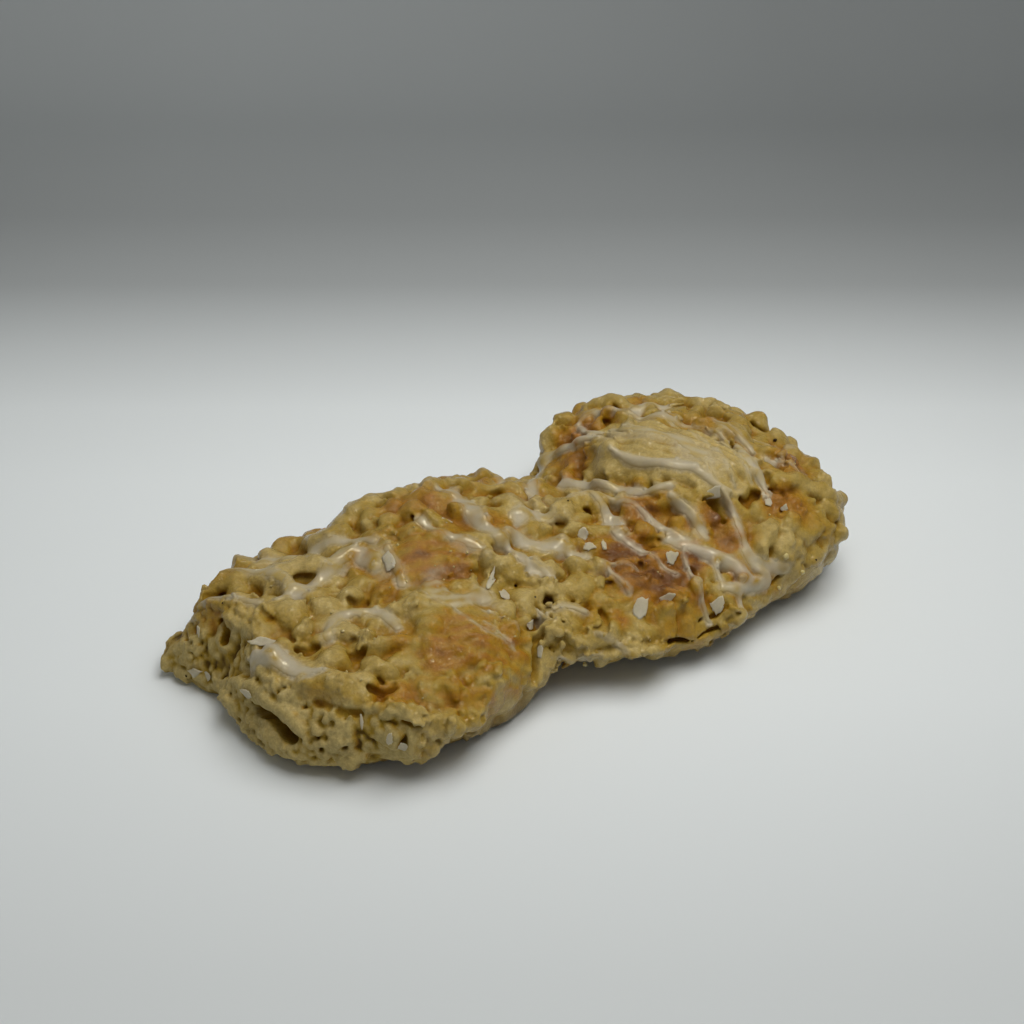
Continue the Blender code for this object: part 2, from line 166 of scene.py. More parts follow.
# Streusel lumps at pixels of the photograph: x, y, radius, and how far each stands out in mm.
LUMPS = (
    (243, 562, 13, 1.6), (279, 586, 10, 1.4), (325, 606, 12, 1.6), (302, 612, 10, 1.4), (240, 633, 10, 1.4),
    (264, 622, 9, 1.2), (308, 628, 12, 1.4), (323, 636, 9, 1.2), (345, 631, 12, 1.5), (366, 633, 12, 1.5),
    (352, 592, 15, 1.4), (333, 658, 18, 1.8), (384, 589, 12, 1.2), (397, 607, 10, 1.0), (376, 668, 12, 2.0),
    (392, 675, 11, 2.0), (245, 674, 14, 1.6), (235, 652, 12, 1.2), (216, 656, 10, 1.2), (352, 509, 12, 1.4),
    (343, 524, 11, 1.4), (366, 527, 10, 1.2), (372, 504, 9, 1.0), (409, 509, 14, 1.4), (431, 516, 10, 1.2),
    (455, 509, 12, 1.4), (486, 564, 10, 1.6), (501, 570, 12, 1.8), (513, 578, 9, 1.4), (524, 605, 17, 1.6),
    (541, 600, 11, 1.4), (430, 586, 8, 0.9), (194, 608, 10, 1.4), (207, 594, 10, 1.2), (579, 408, 9, 0.5),
    (655, 408, 9, 0.2), (679, 407, 9, 0.4), (700, 409, 9, 0.5), (714, 411, 8, 0.7), (740, 415, 12, 1.2),
    (724, 432, 9, 1.2), (760, 426, 8, 1.4), (789, 443, 10, 1.4), (808, 462, 12, 1.4), (822, 481, 9, 1.2),
    (838, 535, 12, 1.4), (820, 557, 14, 1.4), (801, 554, 11, 1.2), (683, 496, 15, 1.8), (577, 587, 17, 1.7),
    (555, 570, 12, 1.5), (576, 564, 12, 1.3), (641, 531, 10, 1.4), (666, 617, 16, 1.5), (690, 592, 11, 1.2),
    (648, 630, 11, 1.2), (770, 531, 15, 1.6), (786, 547, 12, 1.4), (805, 533, 12, 1.4), (762, 507, 11, 1.3),
    (778, 502, 9, 1.2), (590, 622, 14, 1.6), (612, 634, 10, 1.3), (557, 592, 11, 1.4), (543, 568, 9, 1.2),
    (716, 518, 6, 0.8), (828, 513, 9, 1.2), (762, 545, 11, 1.2), (600, 585, 8, 0.9), (520, 487, 10, 0.8),
    (500, 480, 10, 0.6), (540, 508, 9, 1.0), (545, 527, 9, 1.0), (470, 560, 9, 1.0), (532, 585, 9, 1.2),
    (625, 655, 9, 1.0), (655, 650, 9, 1.0), (690, 622, 9, 1.2), (672, 640, 8, 1.0), (560, 640, 10, 1.2),
    (748, 445, 9, 1.1), (766, 470, 9, 1.0), (745, 490, 8, 1.0), (575, 435, 10, 1.0), (590, 470, 9, 0.9),
    (545, 457, 12, 1.6), (552, 438, 14, 3.6), (566, 421, 13, 3.5), (757, 425, 12, 2.5), (777, 439, 12, 2.5),
    (793, 451, 11, 2.0),
    (300, 695, 9, 1.0), (275, 690, 9, 1.1), (330, 700, 9, 1.0), (250, 615, 9, 1.0), (287, 640, 8, 0.9),
)

# Rolls of streusel: pixels along each, its radius in pixels, and how far it stands out in mm.
ROLLS = (
    (((268, 556), (290, 544), (325, 541), (345, 533)), 10, 1.5),
    (((274, 577), (300, 573), (335, 565), (352, 553)), 11, 1.9),
    (((205, 592), (238, 582), (272, 582), (292, 593)), 10, 1.8),
    (((196, 610), (238, 606), (270, 611), (300, 617)), 10, 1.6),
    (((366, 650), (384, 646), (402, 642)), 9, 1.2),
    (((330, 678), (350, 680), (372, 684)), 9, 1.4),
    (((345, 700), (372, 695)), 7, 1.0),
    (((598, 407), (612, 404), (628, 406)), 9, 1.4),
    (((684, 492), (697, 504), (703, 520)), 11, 1.6),
    (((812, 494), (824, 498), (838, 503)), 7, 1.6),
    (((778, 486), (800, 489), (822, 496)), 9, 1.4),
    (((553, 618), (568, 614), (582, 618)), 9, 1.8),
    (((543, 636), (565, 640), (585, 640)), 9, 1.3),
    (((560, 517), (572, 503), (590, 498), (604, 508)), 8, 1.8),
    (((655, 502), (668, 494), (684, 490)), 9, 1.6),
    (((700, 422), (725, 430), (745, 442)), 8, 1.1),
    (((745, 447), (770, 457), (790, 460)), 8, 1.1),
    (((355, 515), (375, 500), (400, 492)), 8, 1.0),
    (((790, 530), (800, 524), (812, 528), (808, 538)), 7, 1.2),
)

# Crumbs of the torn end at pixels, which are rough and unglazed: x, y and radius.
TORN_CRUMBS = (
    (171, 652, 8), (178, 666, 9), (175, 640, 8), (189, 652, 10), (186, 676, 8), (200, 667, 9), (205, 684, 7),
    (196, 640, 9), (215, 690, 8), (228, 697, 7), (238, 711, 7), (243, 724, 8), (251, 737, 8), (262, 747, 9),
    (275, 757, 9), (292, 764, 8), (222, 674, 8), (214, 644, 8), (268, 735, 8), (280, 745, 8), (256, 716, 7),
    (300, 752, 8), (310, 738, 7),
)

# Dark grooves and hollows along lines of pixels: points, radius in pixels and depth in mm.
GROOVES = (
    (((256, 707), (268, 717), (280, 727), (294, 736)), 5.8, 5.0),
    (((350, 597), (358, 602), (367, 598)), 4, 1.8),
    (((206, 600), (232, 598), (258, 597)), 4, 1.8),
    (((298, 580), (314, 578), (332, 571)), 3, 1.4),
    (((370, 687), (384, 694), (400, 690)), 3, 1.4),
    (((301, 645), (310, 648), (318, 644)), 4, 2.0),
    (((349, 652), (357, 655), (364, 649)), 4, 2.2),
    (((612, 480), (630, 489), (655, 495)), 3.5, 1.5),
    (((707, 501), (716, 508), (726, 523)), 3.5, 1.8),
    (((742, 600), (755, 592), (768, 583), (781, 573)), 2.1, 1.7),
    (((690, 654), (712, 642), (738, 629)), 2.0, 1.5),
    (((692, 640), (712, 628), (736, 615)), 2.0, 1.5),
    (((700, 618), (714, 612), (728, 604)), 1.9, 1.2),
    (((560, 651), (590, 652), (620, 646)), 2.2, 1.4),
    (((668, 641), (677, 636), (688, 638)), 3, 2.4),
    (((538, 618), (538, 648), (536, 682)), 3.5, 3.2),
    (((578, 519), (590, 522), (598, 516)), 4, 1.8),
    (((560, 604), (574, 607)), 3, 1.6),
    (((640, 540), (652, 545)), 3, 1.2),
    (((220, 620), (226, 632), (224, 644)), 3.5, 1.8),
    (((495, 577), (500, 584)), 3, 1.6),
    (((244, 716), (252, 730), (262, 744)), 2.5, 1.6),
    (((556, 626), (570, 630), (586, 630)), 3, 1.8),
    (((600, 612), (606, 622), (604, 634)), 3, 1.6),
    (((410, 520), (424, 527)), 3, 1.4),
    (((690, 570), (696, 580)), 3, 1.2),
    (((760, 520), (772, 517)), 3, 1.6),
    (((316, 706), (340, 714), (362, 712)), 2.6, 0.9),
    (((400, 722), (420, 728)), 3, 1.4),
)

# The lip of the torn flap, at pixels.
LIP = ((238, 684), (250, 690), (264, 700), (280, 711), (294, 720), (306, 728))

# Icing at pixels: points of a strand, half width in pixels and thickness in millimetres.
STRANDS = (
    (((262, 562), (290, 557), (320, 550), (345, 543), (374, 543)), 8, 0.32),
    (((208, 587), (240, 578), (272, 581), (290, 590), (288, 604)), 8, 0.34),
    (((356, 552), (338, 566), (318, 580), (300, 592), (280, 607)), 10, 0.5),
    (((340, 560), (356, 555), (374, 561)), 13, 0.32),
    (((200, 608), (222, 605), (244, 607), (262, 610)), 6, 0.35),
    (((328, 637), (334, 622), (348, 611), (374, 610), (390, 620), (398, 629)), 8, 0.42),
    (((254, 655), (275, 661), (300, 671), (321, 674)), 12, 0.8),
    (((268, 650), (290, 664)), 10, 0.8),
    (((420, 520), (440, 531), (462, 539), (482, 549)), 7, 0.3),
    (((468, 500), (480, 517), (492, 532), (500, 543)), 11, 0.42),
    (((500, 538), (512, 552), (524, 566), (536, 577)), 7, 0.45),
    (((514, 514), (532, 512), (550, 517)), 11, 0.5),
    (((510, 532), (530, 541), (556, 546)), 11, 0.5),
    (((520, 557), (535, 568), (552, 580)), 6, 0.4),
    (((552, 616), (568, 611), (584, 616)), 6, 0.4),
    (((432, 590), (446, 600), (464, 602), (482, 596)), 13, 0.22),
    (((455, 612), (480, 628), (505, 640)), 3, 0.22),
    (((470, 604), (495, 616), (518, 632)), 3, 0.22),
    (((484, 622), (500, 636), (516, 652)), 2.5, 0.2),
    (((576, 422), (590, 414), (610, 414), (628, 416)), 5, 0.34),
    (((578, 424), (588, 434), (604, 436)), 5, 0.34),
    (((630, 411), (645, 405), (662, 404)), 8, 0.42),
    (((630, 418), (655, 419), (684, 423)), 5, 0.36),
    (((531, 491), (538, 470), (550, 453), (570, 446), (600, 442)), 7, 0.42),
    (((562, 482), (582, 484), (604, 488), (625, 492), (648, 496), (672, 492)), 7.5, 0.46),
    (((598, 500), (620, 504), (645, 516), (668, 530), (690, 545)), 6, 0.38),
    (((572, 503), (590, 499), (602, 510), (610, 524)), 7, 0.4),
    (((606, 511), (616, 520), (620, 533)), 8, 0.44),
    (((690, 478), (702, 484), (716, 492), (728, 496)), 6.5, 0.42),
    (((722, 496), (732, 509), (740, 530), (746, 548), (752, 561)), 6, 0.5),
    (((613, 534), (632, 547), (652, 559), (674, 577)), 4.5, 0.36),
    (((606, 565), (625, 568), (636, 572)), 3, 0.28),
    (((604, 566), (614, 577), (628, 594)), 4, 0.34),
    (((668, 538), (692, 549), (715, 557), (735, 568), (746, 582)), 10, 0.5),
    (((684, 558), (692, 584), (702, 606), (711, 622)), 4, 0.42),
    (((722, 590), (742, 589), (764, 580)), 8, 0.55),
    (((712, 558), (718, 578), (724, 592)), 5, 0.45),
    (((744, 552), (752, 566), (764, 574)), 6.5, 0.5),
    (((755, 560), (768, 565), (784, 568)), 7, 0.4),
    (((736, 594), (738, 608), (736, 620)), 5, 0.42),
    (((755, 440), (780, 448), (800, 453)), 5, 0.26),
    (((765, 462), (785, 470), (798, 478)), 5, 0.24),
    (((736, 452), (748, 470), (762, 488), (766, 500)), 5, 0.3),
    (((612, 432), (645, 440), (680, 452), (700, 466)), 7, 0.22),
    (((636, 424), (676, 436), (712, 460), (734, 492)), 2.5, 0.2),
    (((650, 418), (696, 434), (730, 458), (750, 488)), 2.5, 0.2),
    (((668, 416), (712, 432), (744, 456), (760, 482)), 2.5, 0.18),
    (((622, 428), (660, 444), (694, 464), (716, 490)), 2.5, 0.18),
    (((616, 461), (638, 469), (668, 474), (694, 479)), 7, 0.7),
    (((704, 420), (730, 436), (752, 456)), 4, 0.22),
    (((672, 500), (692, 516), (706, 538)), 6, 0.36),
    (((535, 615), (545, 628)), 4, 0.3),
    (((548, 657), (575, 658), (600, 655)), 4, 0.3),
    (((582, 655), (584, 670)), 4.5, 0.4),
    (((420, 486), (450, 491), (470, 499)), 6, 0.25),
    (((388, 548), (398, 566), (402, 584)), 7, 0.25),
    (((480, 470), (496, 476), (508, 486)), 6, 0.25),
    (((560, 540), (572, 552), (584, 556)), 6, 0.28),
    (((596, 636), (610, 640), (626, 652)), 4, 0.3),
)

# Thin smears of icing that only whiten the crust, at pixels: points, half width in pixels and strength.
SMEARS = (
    (((398, 520), (430, 530), (460, 545), (486, 560)), 10, 0.55),
    (((430, 582), (448, 596), (472, 606), (496, 614)), 18, 0.8),
    (((340, 545), (370, 548), (395, 570)), 14, 0.7),
    (((360, 500), (400, 488), (450, 486)), 9, 0.5),
    (((230, 566), (280, 560), (330, 548)), 12, 0.6),
    (((500, 500), (540, 505), (570, 520)), 14, 0.6),
    (((545, 540), (575, 552), (600, 575)), 12, 0.5),
    (((560, 430), (600, 425), (650, 425)), 8, 0.5),
    (((720, 440), (760, 462), (800, 470)), 12, 0.5),
    (((620, 440), (680, 455), (730, 490)), 18, 0.7),
    (((560, 600), (590, 625), (620, 640)), 12, 0.4),
)

# Thin pale flakes at pixels: x, y, width and height in pixels, turn in degrees and tilt.
FLAKES = (
    (391, 562, 16, 26, 15, 0.2), (490, 583, 8, 20, -15, 0.7), (503, 597, 20, 12, 35, 0.4),
    (447, 522, 14, 5, -5, 0.2), (262, 643, 30, 7, -4, 0.4), (200, 632, 12, 12, -30, 0.4),
    (194, 672, 18, 8, 10, 0.4), (247, 693, 20, 10, 5, 0.3), (390, 738, 8, 20, -15, 0.4),
    (404, 746, 13, 9, 30, 0.3), (671, 558, 15, 19, -25, 0.3), (640, 610, 13, 27, -25, 0.3),
    (668, 598, 19, 8, 15, 0.5), (583, 535, 19, 10, 10, 0.3), (590, 547, 14, 9, -10, 0.3),
    (604, 547, 8, 10, 20, 0.5), (718, 606, 17, 15, -20, 0.2), (716, 491, 26, 13, 20, 0.2),
    (768, 504, 10, 8, 10, 0.3), (362, 720, 4, 17, 5, 0.5), (530, 625, 16, 7, 25, 0.4),
    (540, 652, 6, 12, 0, 0.4), (210, 676, 9, 7, 0, 0.4), (784, 508, 8, 7, 0, 0.3),
)

# The flakes' points round the rim, their rings as shares of the reach, their half thickness in mm
# inside and at the rim, and how far they lie above the surface and follow its hollows.
FLAKE_POINTS = 24
FLAKE_RINGS = (0.45, 0.8, 1.0)
FLAKE_THICKNESS = (0.09, 0.04)
FLAKE_LIFT = 0.22
FLAKE_FOLLOWS = 0.7

# Loose grains: how far apart in mm, how many at most, the range of their size, how far they keep
# from the tear, and the size of a dark speck in mm for each pixel of its radius.
GRAIN_SPACING = 3.4
GRAIN_COUNT = 100
GRAIN_SIZE = (0.2, 0.42)
GRAINS_PAST_TEAR = 9
SPECK_SCALE = 0.24

# Small white drops and dark specks at pixels: x, y and radius in pixels.
DROPS = ((786, 557, 4.5), (779, 588, 3.0), (802, 572, 3.0), (585, 664, 3.5))
SPECKS = ((223, 603, 1.5), (535, 597, 1.4), (816, 560, 1.6), (568, 501, 1.4), (775, 440, 2.4), (186, 676, 1.5))

# Baked colour at pixels: x, y, radius in pixels and how brown, from 0 to 1.
BAKED = (
    (470, 650, 58, 0.60), (430, 553, 46, 0.70), (412, 500, 34, 0.60), (386, 590, 20, 0.6),
    (213, 634, 20, 0.6), (385, 692, 16, 0.85), (470, 690, 40, 0.58), (440, 656, 26, 0.72),
    (460, 570, 18, 0.8), (500, 520, 22, 0.6), (575, 430, 30, 0.72), (572, 468, 28, 0.66),
    (650, 572, 44, 0.97), (618, 552, 22, 0.92), (690, 560, 24, 0.8), (716, 512, 20, 0.97),
    (790, 465, 26, 0.78), (776, 502, 22, 0.66), (620, 622, 13, 0.85), (640, 512, 26, 0.75),
    (800, 512, 22, 0.72), (700, 425, 26, 0.6), (635, 482, 20, 0.85), (735, 540, 24, 0.72),
    (740, 575, 18, 0.7), (700, 600, 18, 0.72), (510, 640, 34, 0.54), (400, 700, 26, 0.6),
    (400, 640, 26, 0.5), (360, 560, 20, 0.6), (475, 480, 22, 0.5), (640, 400, 20, 0.5),
)

# Smooth crust without streusel at pixels: x, y, radius in pixels and how bare, from 0 to 1.
BARE = (
    (475, 650, 56, 1), (430, 685, 40, 0.8), (500, 680, 38, 1), (430, 553, 42, 1), (390, 545, 25, 0.8),
    (440, 600, 40, 1), (470, 725, 40, 0.5), (520, 650, 25, 1), (380, 735, 30, 0.3), (650, 572, 40, 1),
    (625, 545, 28, 1), (690, 555, 26, 1), (615, 600, 22, 1), (570, 450, 26, 0.7), (640, 515, 24, 0.8),
    (620, 660, 30, 0.9), (570, 662, 30, 1), (540, 485, 16, 0.7), (735, 560, 26, 0.8), (720, 600, 24, 0.8),
    (410, 720, 30, 0.4), (300, 740, 26, 0.3), (720, 640, 26, 0.8), (760, 605, 30, 1), (800, 585, 26, 1),
    (360, 715, 24, 0.4), (440, 500, 18, 0.5),
)

# Granular, sparkling places at pixels: x, y and radius in pixels.
GRANULAR = (
    (325, 605, 16), (320, 625, 16), (345, 628, 14), (279, 586, 10), (285, 683, 22), (340, 690, 22),
    (455, 568, 20), (395, 590, 14), (400, 535, 16), (490, 680, 20, 0.6), (655, 575, 30, 0.3),
    (640, 560, 22, 0.3), (300, 745, 30), (340, 745, 22), (420, 710, 20), (548, 592, 12), (650, 650, 18),
    (785, 465, 14, 0.5),
    (250, 740, 20), (213, 634, 16), (500, 630, 20, 0.6), (410, 605, 14), (370, 640, 14), (775, 520, 14),
)

# Rough places along the lower sides, strewn with small lumps, at pixels: x, y and radius in pixels.
RUBBLE = (
    (335, 738, 30), (380, 728, 28), (440, 724, 32), (490, 708, 26), (300, 755, 20), (350, 757, 20),
    (250, 735, 20), (410, 745, 22), (560, 640, 18), (620, 640, 18), (700, 615, 20), (660, 645, 20),
    (740, 600, 16), (820, 545, 22), (200, 670, 22), (280, 700, 22), (515, 690, 16),
)

# Pale places at pixels: x, y, radius in pixels and how pale, from 0 to 1.
PALE = (
    (660, 450, 48, 1.0), (720, 470, 34, 0.9), (480, 718, 46, 0.8), (560, 600, 40, 0.7),
    (530, 480, 26, 0.9), (300, 560, 50, 0.6), (260, 640, 40, 0.6), (380, 670, 22, 0.9),
    (820, 560, 22, 0.8), (590, 655, 50, 0.6), (250, 730, 40, 0.6), (690, 500, 22, 0.6),
    (320, 610, 40, 0.6), (250, 590, 40, 0.6),
)

# The pale slab on the tall end: its middle in plan, half sizes, and its turn in degrees.
SLAB_MIDDLE = (40.7, 2.0)
SLAB_HALF = (18.5, 9.5, 3.4)
SLAB_TURN = -64.0
SLAB_LUMP = (611, 449, 13, 1.2)
SLAB_RIDGES = 24
SLAB_RIDGE_HEIGHT = 0.24

# The finished colours as the photograph shows them, 0 to 255, and the light that falls on them.
STREUSEL_TOP = (147, 122, 55)
STREUSEL_PALE = (161, 140, 84)
# Painted shade: the dark colour that creases and the dips of the low sides are mixed towards.
STREUSEL_CREASE_SHADE = (104, 70, 14)
GOLDEN = (147, 110, 28)
ORANGE = (140, 94, 24)
DEEP_BROWN = (94, 56, 14)
TORN_CRUMB = (164, 146, 96)
TORN_GOLD = (140, 114, 46)
TORN_SHADE = (78, 58, 20)
# The dough's side colour, darkened as painted shade of the low sides.
DOUGH_SIDE_IN_SHADE = (104, 84, 36)
ICING_MILK = (166, 157, 136)
FLAKE_WHITE = (176, 166, 142)
SUGAR = (178, 162, 112)
SPECK_BROWN = (40, 24, 10)
LIGHT_ON_TOP = 0.84
SHEEN = 0.014

# How brown the crust is, from 0 to 1, away from the baked spots, and how far that varies broadly, in
# patches and in grain; then how far the spots vary in patches and in grain.
PLAIN_BAKE = 0.22
PLAIN_VARIES = (0.14, 0.20, 0.12)
SPOTS_VARY = (0.14, 0.10)
MOST_WITHOUT_SPOT = 0.6

# How far pale places and the slab hold the browning back, and how far streaks and grain change it on bare
# crust. Tips are paler as painted light, and dips browner and darker as painted shade.
PALE_HOLDS_BACK = 0.6
SLAB_HOLDS_BACK = 0.75
STREAK_BAKE = 0.16
GRAIN_BAKE = 0.2
TIP_LIGHT = 0.12
DIP_SHADE = 0.42

# What all baked and sugary surfaces share: a weak shine of their own under the glaze, and how light
# spreads below them, farthest in red.
SPECULAR_LEVEL = 0.1
SUBSURFACE_RADIUS = (1.0, 0.75, 0.35)
SUBSURFACE_SCALE = 0.0015

# The paper that the pastry lies on: its colour, and the painted light and shade that change it with
# depth in metres and from the stage's left to its right.
PAPER = (0.80, 0.84, 0.845)
PAPER_SPAN = (-0.3, 0.8)
PAPER_PAINTED_LIGHT = (
    (0.0, 0.75), (0.177, 0.8), (0.24, 0.96), (0.32, 1.05), (0.36, 1.03), (0.4, 0.86), (0.45, 0.6),
    (0.52, 0.54), (0.64, 0.66), (0.93, 1.02),
)
PAPER_PAINTED_SIDE_LIGHT = (-0.15, 0.15, 1.12, 0.9)

# The stage in metres: where its floor starts, bends and how wide it is, and its turn in degrees.
STAGE_FRONT = -1.4
STAGE_BEND_AT = 0.42
STAGE_BEND = 0.25
STAGE_BEND_STEPS = 16
STAGE_TOP = 1.3
STAGE_HALF_WIDTH = 1.6
STAGE_TURN = -31

# The lights in metres and watts, all aimed at the middle. The soft one makes no glints, so that it
# doesn't lie over the browns as a grey veil. The small ones make only the glints.
GLINT_COLOUR = (1.0, 0.9, 0.66)
SOFT_LIGHT = dict(
    place=(0.055, -0.07, 0.35), size=(0.36, 0.24), power=0.86, colour=(1.0, 0.985, 0.965), spread=160,
)
GLINTS = dict(
    glint=dict(place=(0.08, 0.12, 0.5), size=(0.06, 0.06), power=1.2),
    left_glint=dict(place=(-0.15, 0.05, 0.4), size=(0.05, 0.05), power=0.25),
    right_glint=dict(place=(0.25, -0.08, 0.4), size=(0.05, 0.05), power=0.25),
)
WORLD_COLOUR = (0.97, 0.98, 0.97, 1)
WORLD_STRENGTH = 0.2


# ---- the grid ----


def lattice_noise(picks, size):
    """Smooth noise over the whole grid with a spread of about 0.5, in features of this size in mm."""
    sizes = size if isinstance(size, tuple) else (size, size, size)
    weights = []
    for axis, step in zip(AXES, sizes):
        place = (axis - axis[0]) / step
        whole = np.floor(place).astype(int)
        t = place - whole
        pulls = (
            (1 - t) ** 3 / 6, (3 * t**3 - 6 * t**2 + 4) / 6, (-3 * t**3 + 3 * t**2 + 3 * t + 1) / 6, t**3 / 6,
        )
        matrix = np.zeros((len(axis), whole.max() + 4), np.float32)
        for k, pull in enumerate(pulls):
            matrix[np.arange(len(axis)), whole + k] += pull
        weights.append(matrix)
    lattice = picks.uniform(-1, 1, [matrix.shape[1] for matrix in weights]).astype(np.float32)
    part = np.tensordot(weights[0], lattice, 1)
    part = np.matmul(weights[1], part)
    return np.matmul(part, weights[2].T) * NOISE_GAIN


def blurred(field, radius):
    """The field averaged over about this radius in mm, by two box blurs along each axis."""
    half = max(1, round(radius / CELL / 1.7))
    width = 2 * half + 1
    for axis in range(3):
        for _ in range(2):
            field = np.moveaxis(field, axis, 0)
            padded = np.concatenate([field[:1]] * (half + 1) + [field] + [field[-1:]] * half)
            running = np.cumsum(padded, axis=0, dtype=np.float32)
            field = np.moveaxis((running[width:] - running[:-width]) / width, 0, axis)
    return np.ascontiguousarray(field)


def sample(field, points):
    """The field at points in mm, by straight interpolation; far outside the grid it is its edge's."""
    places = (np.asarray(points, np.float32) - np.array([axis[0] for axis in AXES], np.float32)) / CELL
    places = np.clip(places, 0, np.array(SHAPE, np.float32) - 1.001)
    whole = places.astype(np.int32)
    part = places - whole
    total = 0
    for corner in range(8):
        step = np.array([corner >> 2 & 1, corner >> 1 & 1, corner & 1])
        pull = np.prod(np.where(step, part, 1 - part), axis=-1)
        at = whole + step
        total = total + pull * field[at[..., 0], at[..., 1], at[..., 2]]
    return total


def slopes(field, points, reach=0.5):
    """Unit vectors along which the field rises at points."""
    steps = np.eye(3, dtype=np.float32) * reach
    rise = np.stack([sample(field, points + step) - sample(field, points - step) for step in steps], axis=-1)
    return rise / np.maximum(np.linalg.norm(rise, axis=-1, keepdims=True), 1e-6)


def to_distance(field):
    """The field scaled so that it rises by about one millimetre per millimetre."""
    steep = np.sqrt(sum(np.gradient(field, CELL, axis=axis) ** 2 for axis in range(3)))
    return np.clip(field / np.maximum(steep, 0.15), -FARTHEST, FARTHEST).astype(np.float32)


def window(low, high):
    """The slices of the grid that cover a box, and its own x, y and z."""
    first = [max(0, int((a - axis[0]) / CELL)) for a, axis in zip(low, AXES)]
    last = [min(len(axis), int((b - axis[0]) / CELL) + 2) for b, axis in zip(high, AXES)]
    cut = tuple(slice(a, max(a, b)) for a, b in zip(first, last))
    return cut, (X[cut[0]], Y[:, cut[1]], Z[:, :, cut[2]])


def is_empty(cut):
    return any(part.stop <= part.start for part in cut)


def joined(a, b, softness):
    """The union of two fields, rounded where they meet."""
    share = np.clip(0.5 + 0.5 * (b - a) / softness, 0, 1)
    return b * (1 - share) + a * share - softness * share * (1 - share)


def shared(a, b, softness):
    """What lies in both fields, rounded at the edge."""
    return -joined(-a, -b, softness)


def without_pits(field, radius, deepest):
    """The field with pits filled that lie deeper than this under its average over the radius."""
    return np.minimum(field, blurred(field, radius) + deepest)


def without_spikes(field, radius, highest):
    """The field with spikes cut that stand higher than this over its average over the radius."""
    return np.maximum(field, blurred(field, radius) - highest)


def smooth_step(value, low, high):
    """Rises smoothly from 0 to 1 between two values."""
    t = np.clip((value - low) / (high - low), 0, 1)
    return t * t * (3 - 2 * t)


def band(value, low, full, still, high):
    """Rises from 0 to 1 between the first two values, and falls back between the last two."""
    return smooth_step(value, low, full) * (1 - smooth_step(value, still, high))


# ---- the dough ----


def mound_field(middle, half, top, rim=8.0, under=15.0, plan=2.5, section=2.4, turn=0.0):
    """Below zero inside one rounded block of dough."""
    angle = math.radians(turn)
    along = ((X - middle[0]) * math.cos(angle) + (Y - middle[1]) * math.sin(angle)) / half[0]
    across = ((Y - middle[1]) * math.cos(angle) - (X - middle[0]) * math.sin(angle)) / half[1]
    out = (np.abs(along) ** plan + np.abs(across) ** plan) ** (1 / plan)
    up = np.where(Z > rim, (Z - rim) / (top - rim), (rim - Z) / under)
    level = (out**section + up**section) ** (1 / section)
    return ((level - 1) * min(half[0], top - rim)).astype(np.float32)


def bare_dough():
    """The joined mounds as a distance, before they rest on the floor."""
    field = mound_field(**MOUNDS[0])
    for mound in MOUNDS[1:]:
        field = joined(field, mound_field(**mound), BLEND)
    return to_distance(joined(field, mound_field(**LEDGE), LEDGE_BLEND))


def camera_axes():
    """The camera's forward, right and up directions."""
    forward = (CAMERA_AIM - CAMERA_AT) / np.linalg.norm(CAMERA_AIM - CAMERA_AT)
    right = np.cross(forward, (0, 0, 1))
    right /= np.linalg.norm(right)
    return forward, right, np.cross(right, forward)


FORWARD, RIGHT, UP = camera_axes()
FOCAL_PIXELS = IMAGE_SIZE / 2 / math.tan(math.radians(FIELD_OF_VIEW / 2))


def cast(field, pixel):
    """The first point of the surface on the line through a pixel, or the nearest one, and mm per pixel."""
    x, y = pixel
    ray = FORWARD + RIGHT * (x - IMAGE_SIZE / 2) / FOCAL_PIXELS + UP * (IMAGE_SIZE / 2 - y) / FOCAL_PIXELS
    ray /= np.linalg.norm(ray)
    reach = np.arange(200, 470, 0.25)
    points = CAMERA_AT + reach[:, None] * ray
    inside = np.all((points > GRID_LOW) & (points < np.array(GRID_HIGH) - CELL), axis=1)
    values = np.where(inside, sample(field, points), 2 * FARTHEST)
    found = np.flatnonzero(values < 0)
    index = found[0] if len(found) else int(np.argmin(values))
    return points[index], reach[index] / FOCAL_PIXELS


def spot_grid(spots):
    """The strongest of several soft spots, given by pixel, all over the grid."""
    grid = np.zeros(SHAPE, np.float32)
    for x, y, radius, *amount in spots:
        middle, scale = cast(dough, (x, y))
        reach = radius * scale
        cut, axes = window(middle - 2.2 * reach, middle + 2.2 * reach)
        if is_empty(cut):
            continue
        away = sum((axis - place) ** 2 for axis, place in zip(axes, middle)) / reach**2
        strength = (amount[0] if amount else 1.0) * np.exp(-0.8 * away**1.3)
        grid[cut] = np.maximum(grid[cut], strength)
    return grid


# ---- streusel ----


def add_lump(field, warp, middle, half, turn, softness):
    """Joins one uneven ellipsoid to the field."""
    room = max(half) + 2.2
    cut, (x, y, z) = window([m - room for m in middle], [m + room for m in middle])
    if is_empty(cut):
        return
    away = [x + warp[0][cut] - middle[0], y + warp[1][cut] - middle[1], z + warp[2][cut] - middle[2]]
    local = [sum(turn[row][k] * away[k] for k in range(3)) for row in range(3)]
    near = np.sqrt(sum((value / size) ** 2 for value, size in zip(local, half)))
    steep = np.sqrt(sum((value / size**2) ** 2 for value, size in zip(local, half)))
    lump = near * (near - 1) / np.maximum(steep, 1e-3)
    field[cut] = joined(field[cut], lump.astype(np.float32), softness)


def facing(normal, spin):
    """Rows of a turn whose third row is the normal."""
    side = np.cross(normal, (math.cos(spin), math.sin(spin), 0.3))
    side /= max(np.linalg.norm(side), 1e-6)
    return np.array([side, np.cross(normal, side), normal])


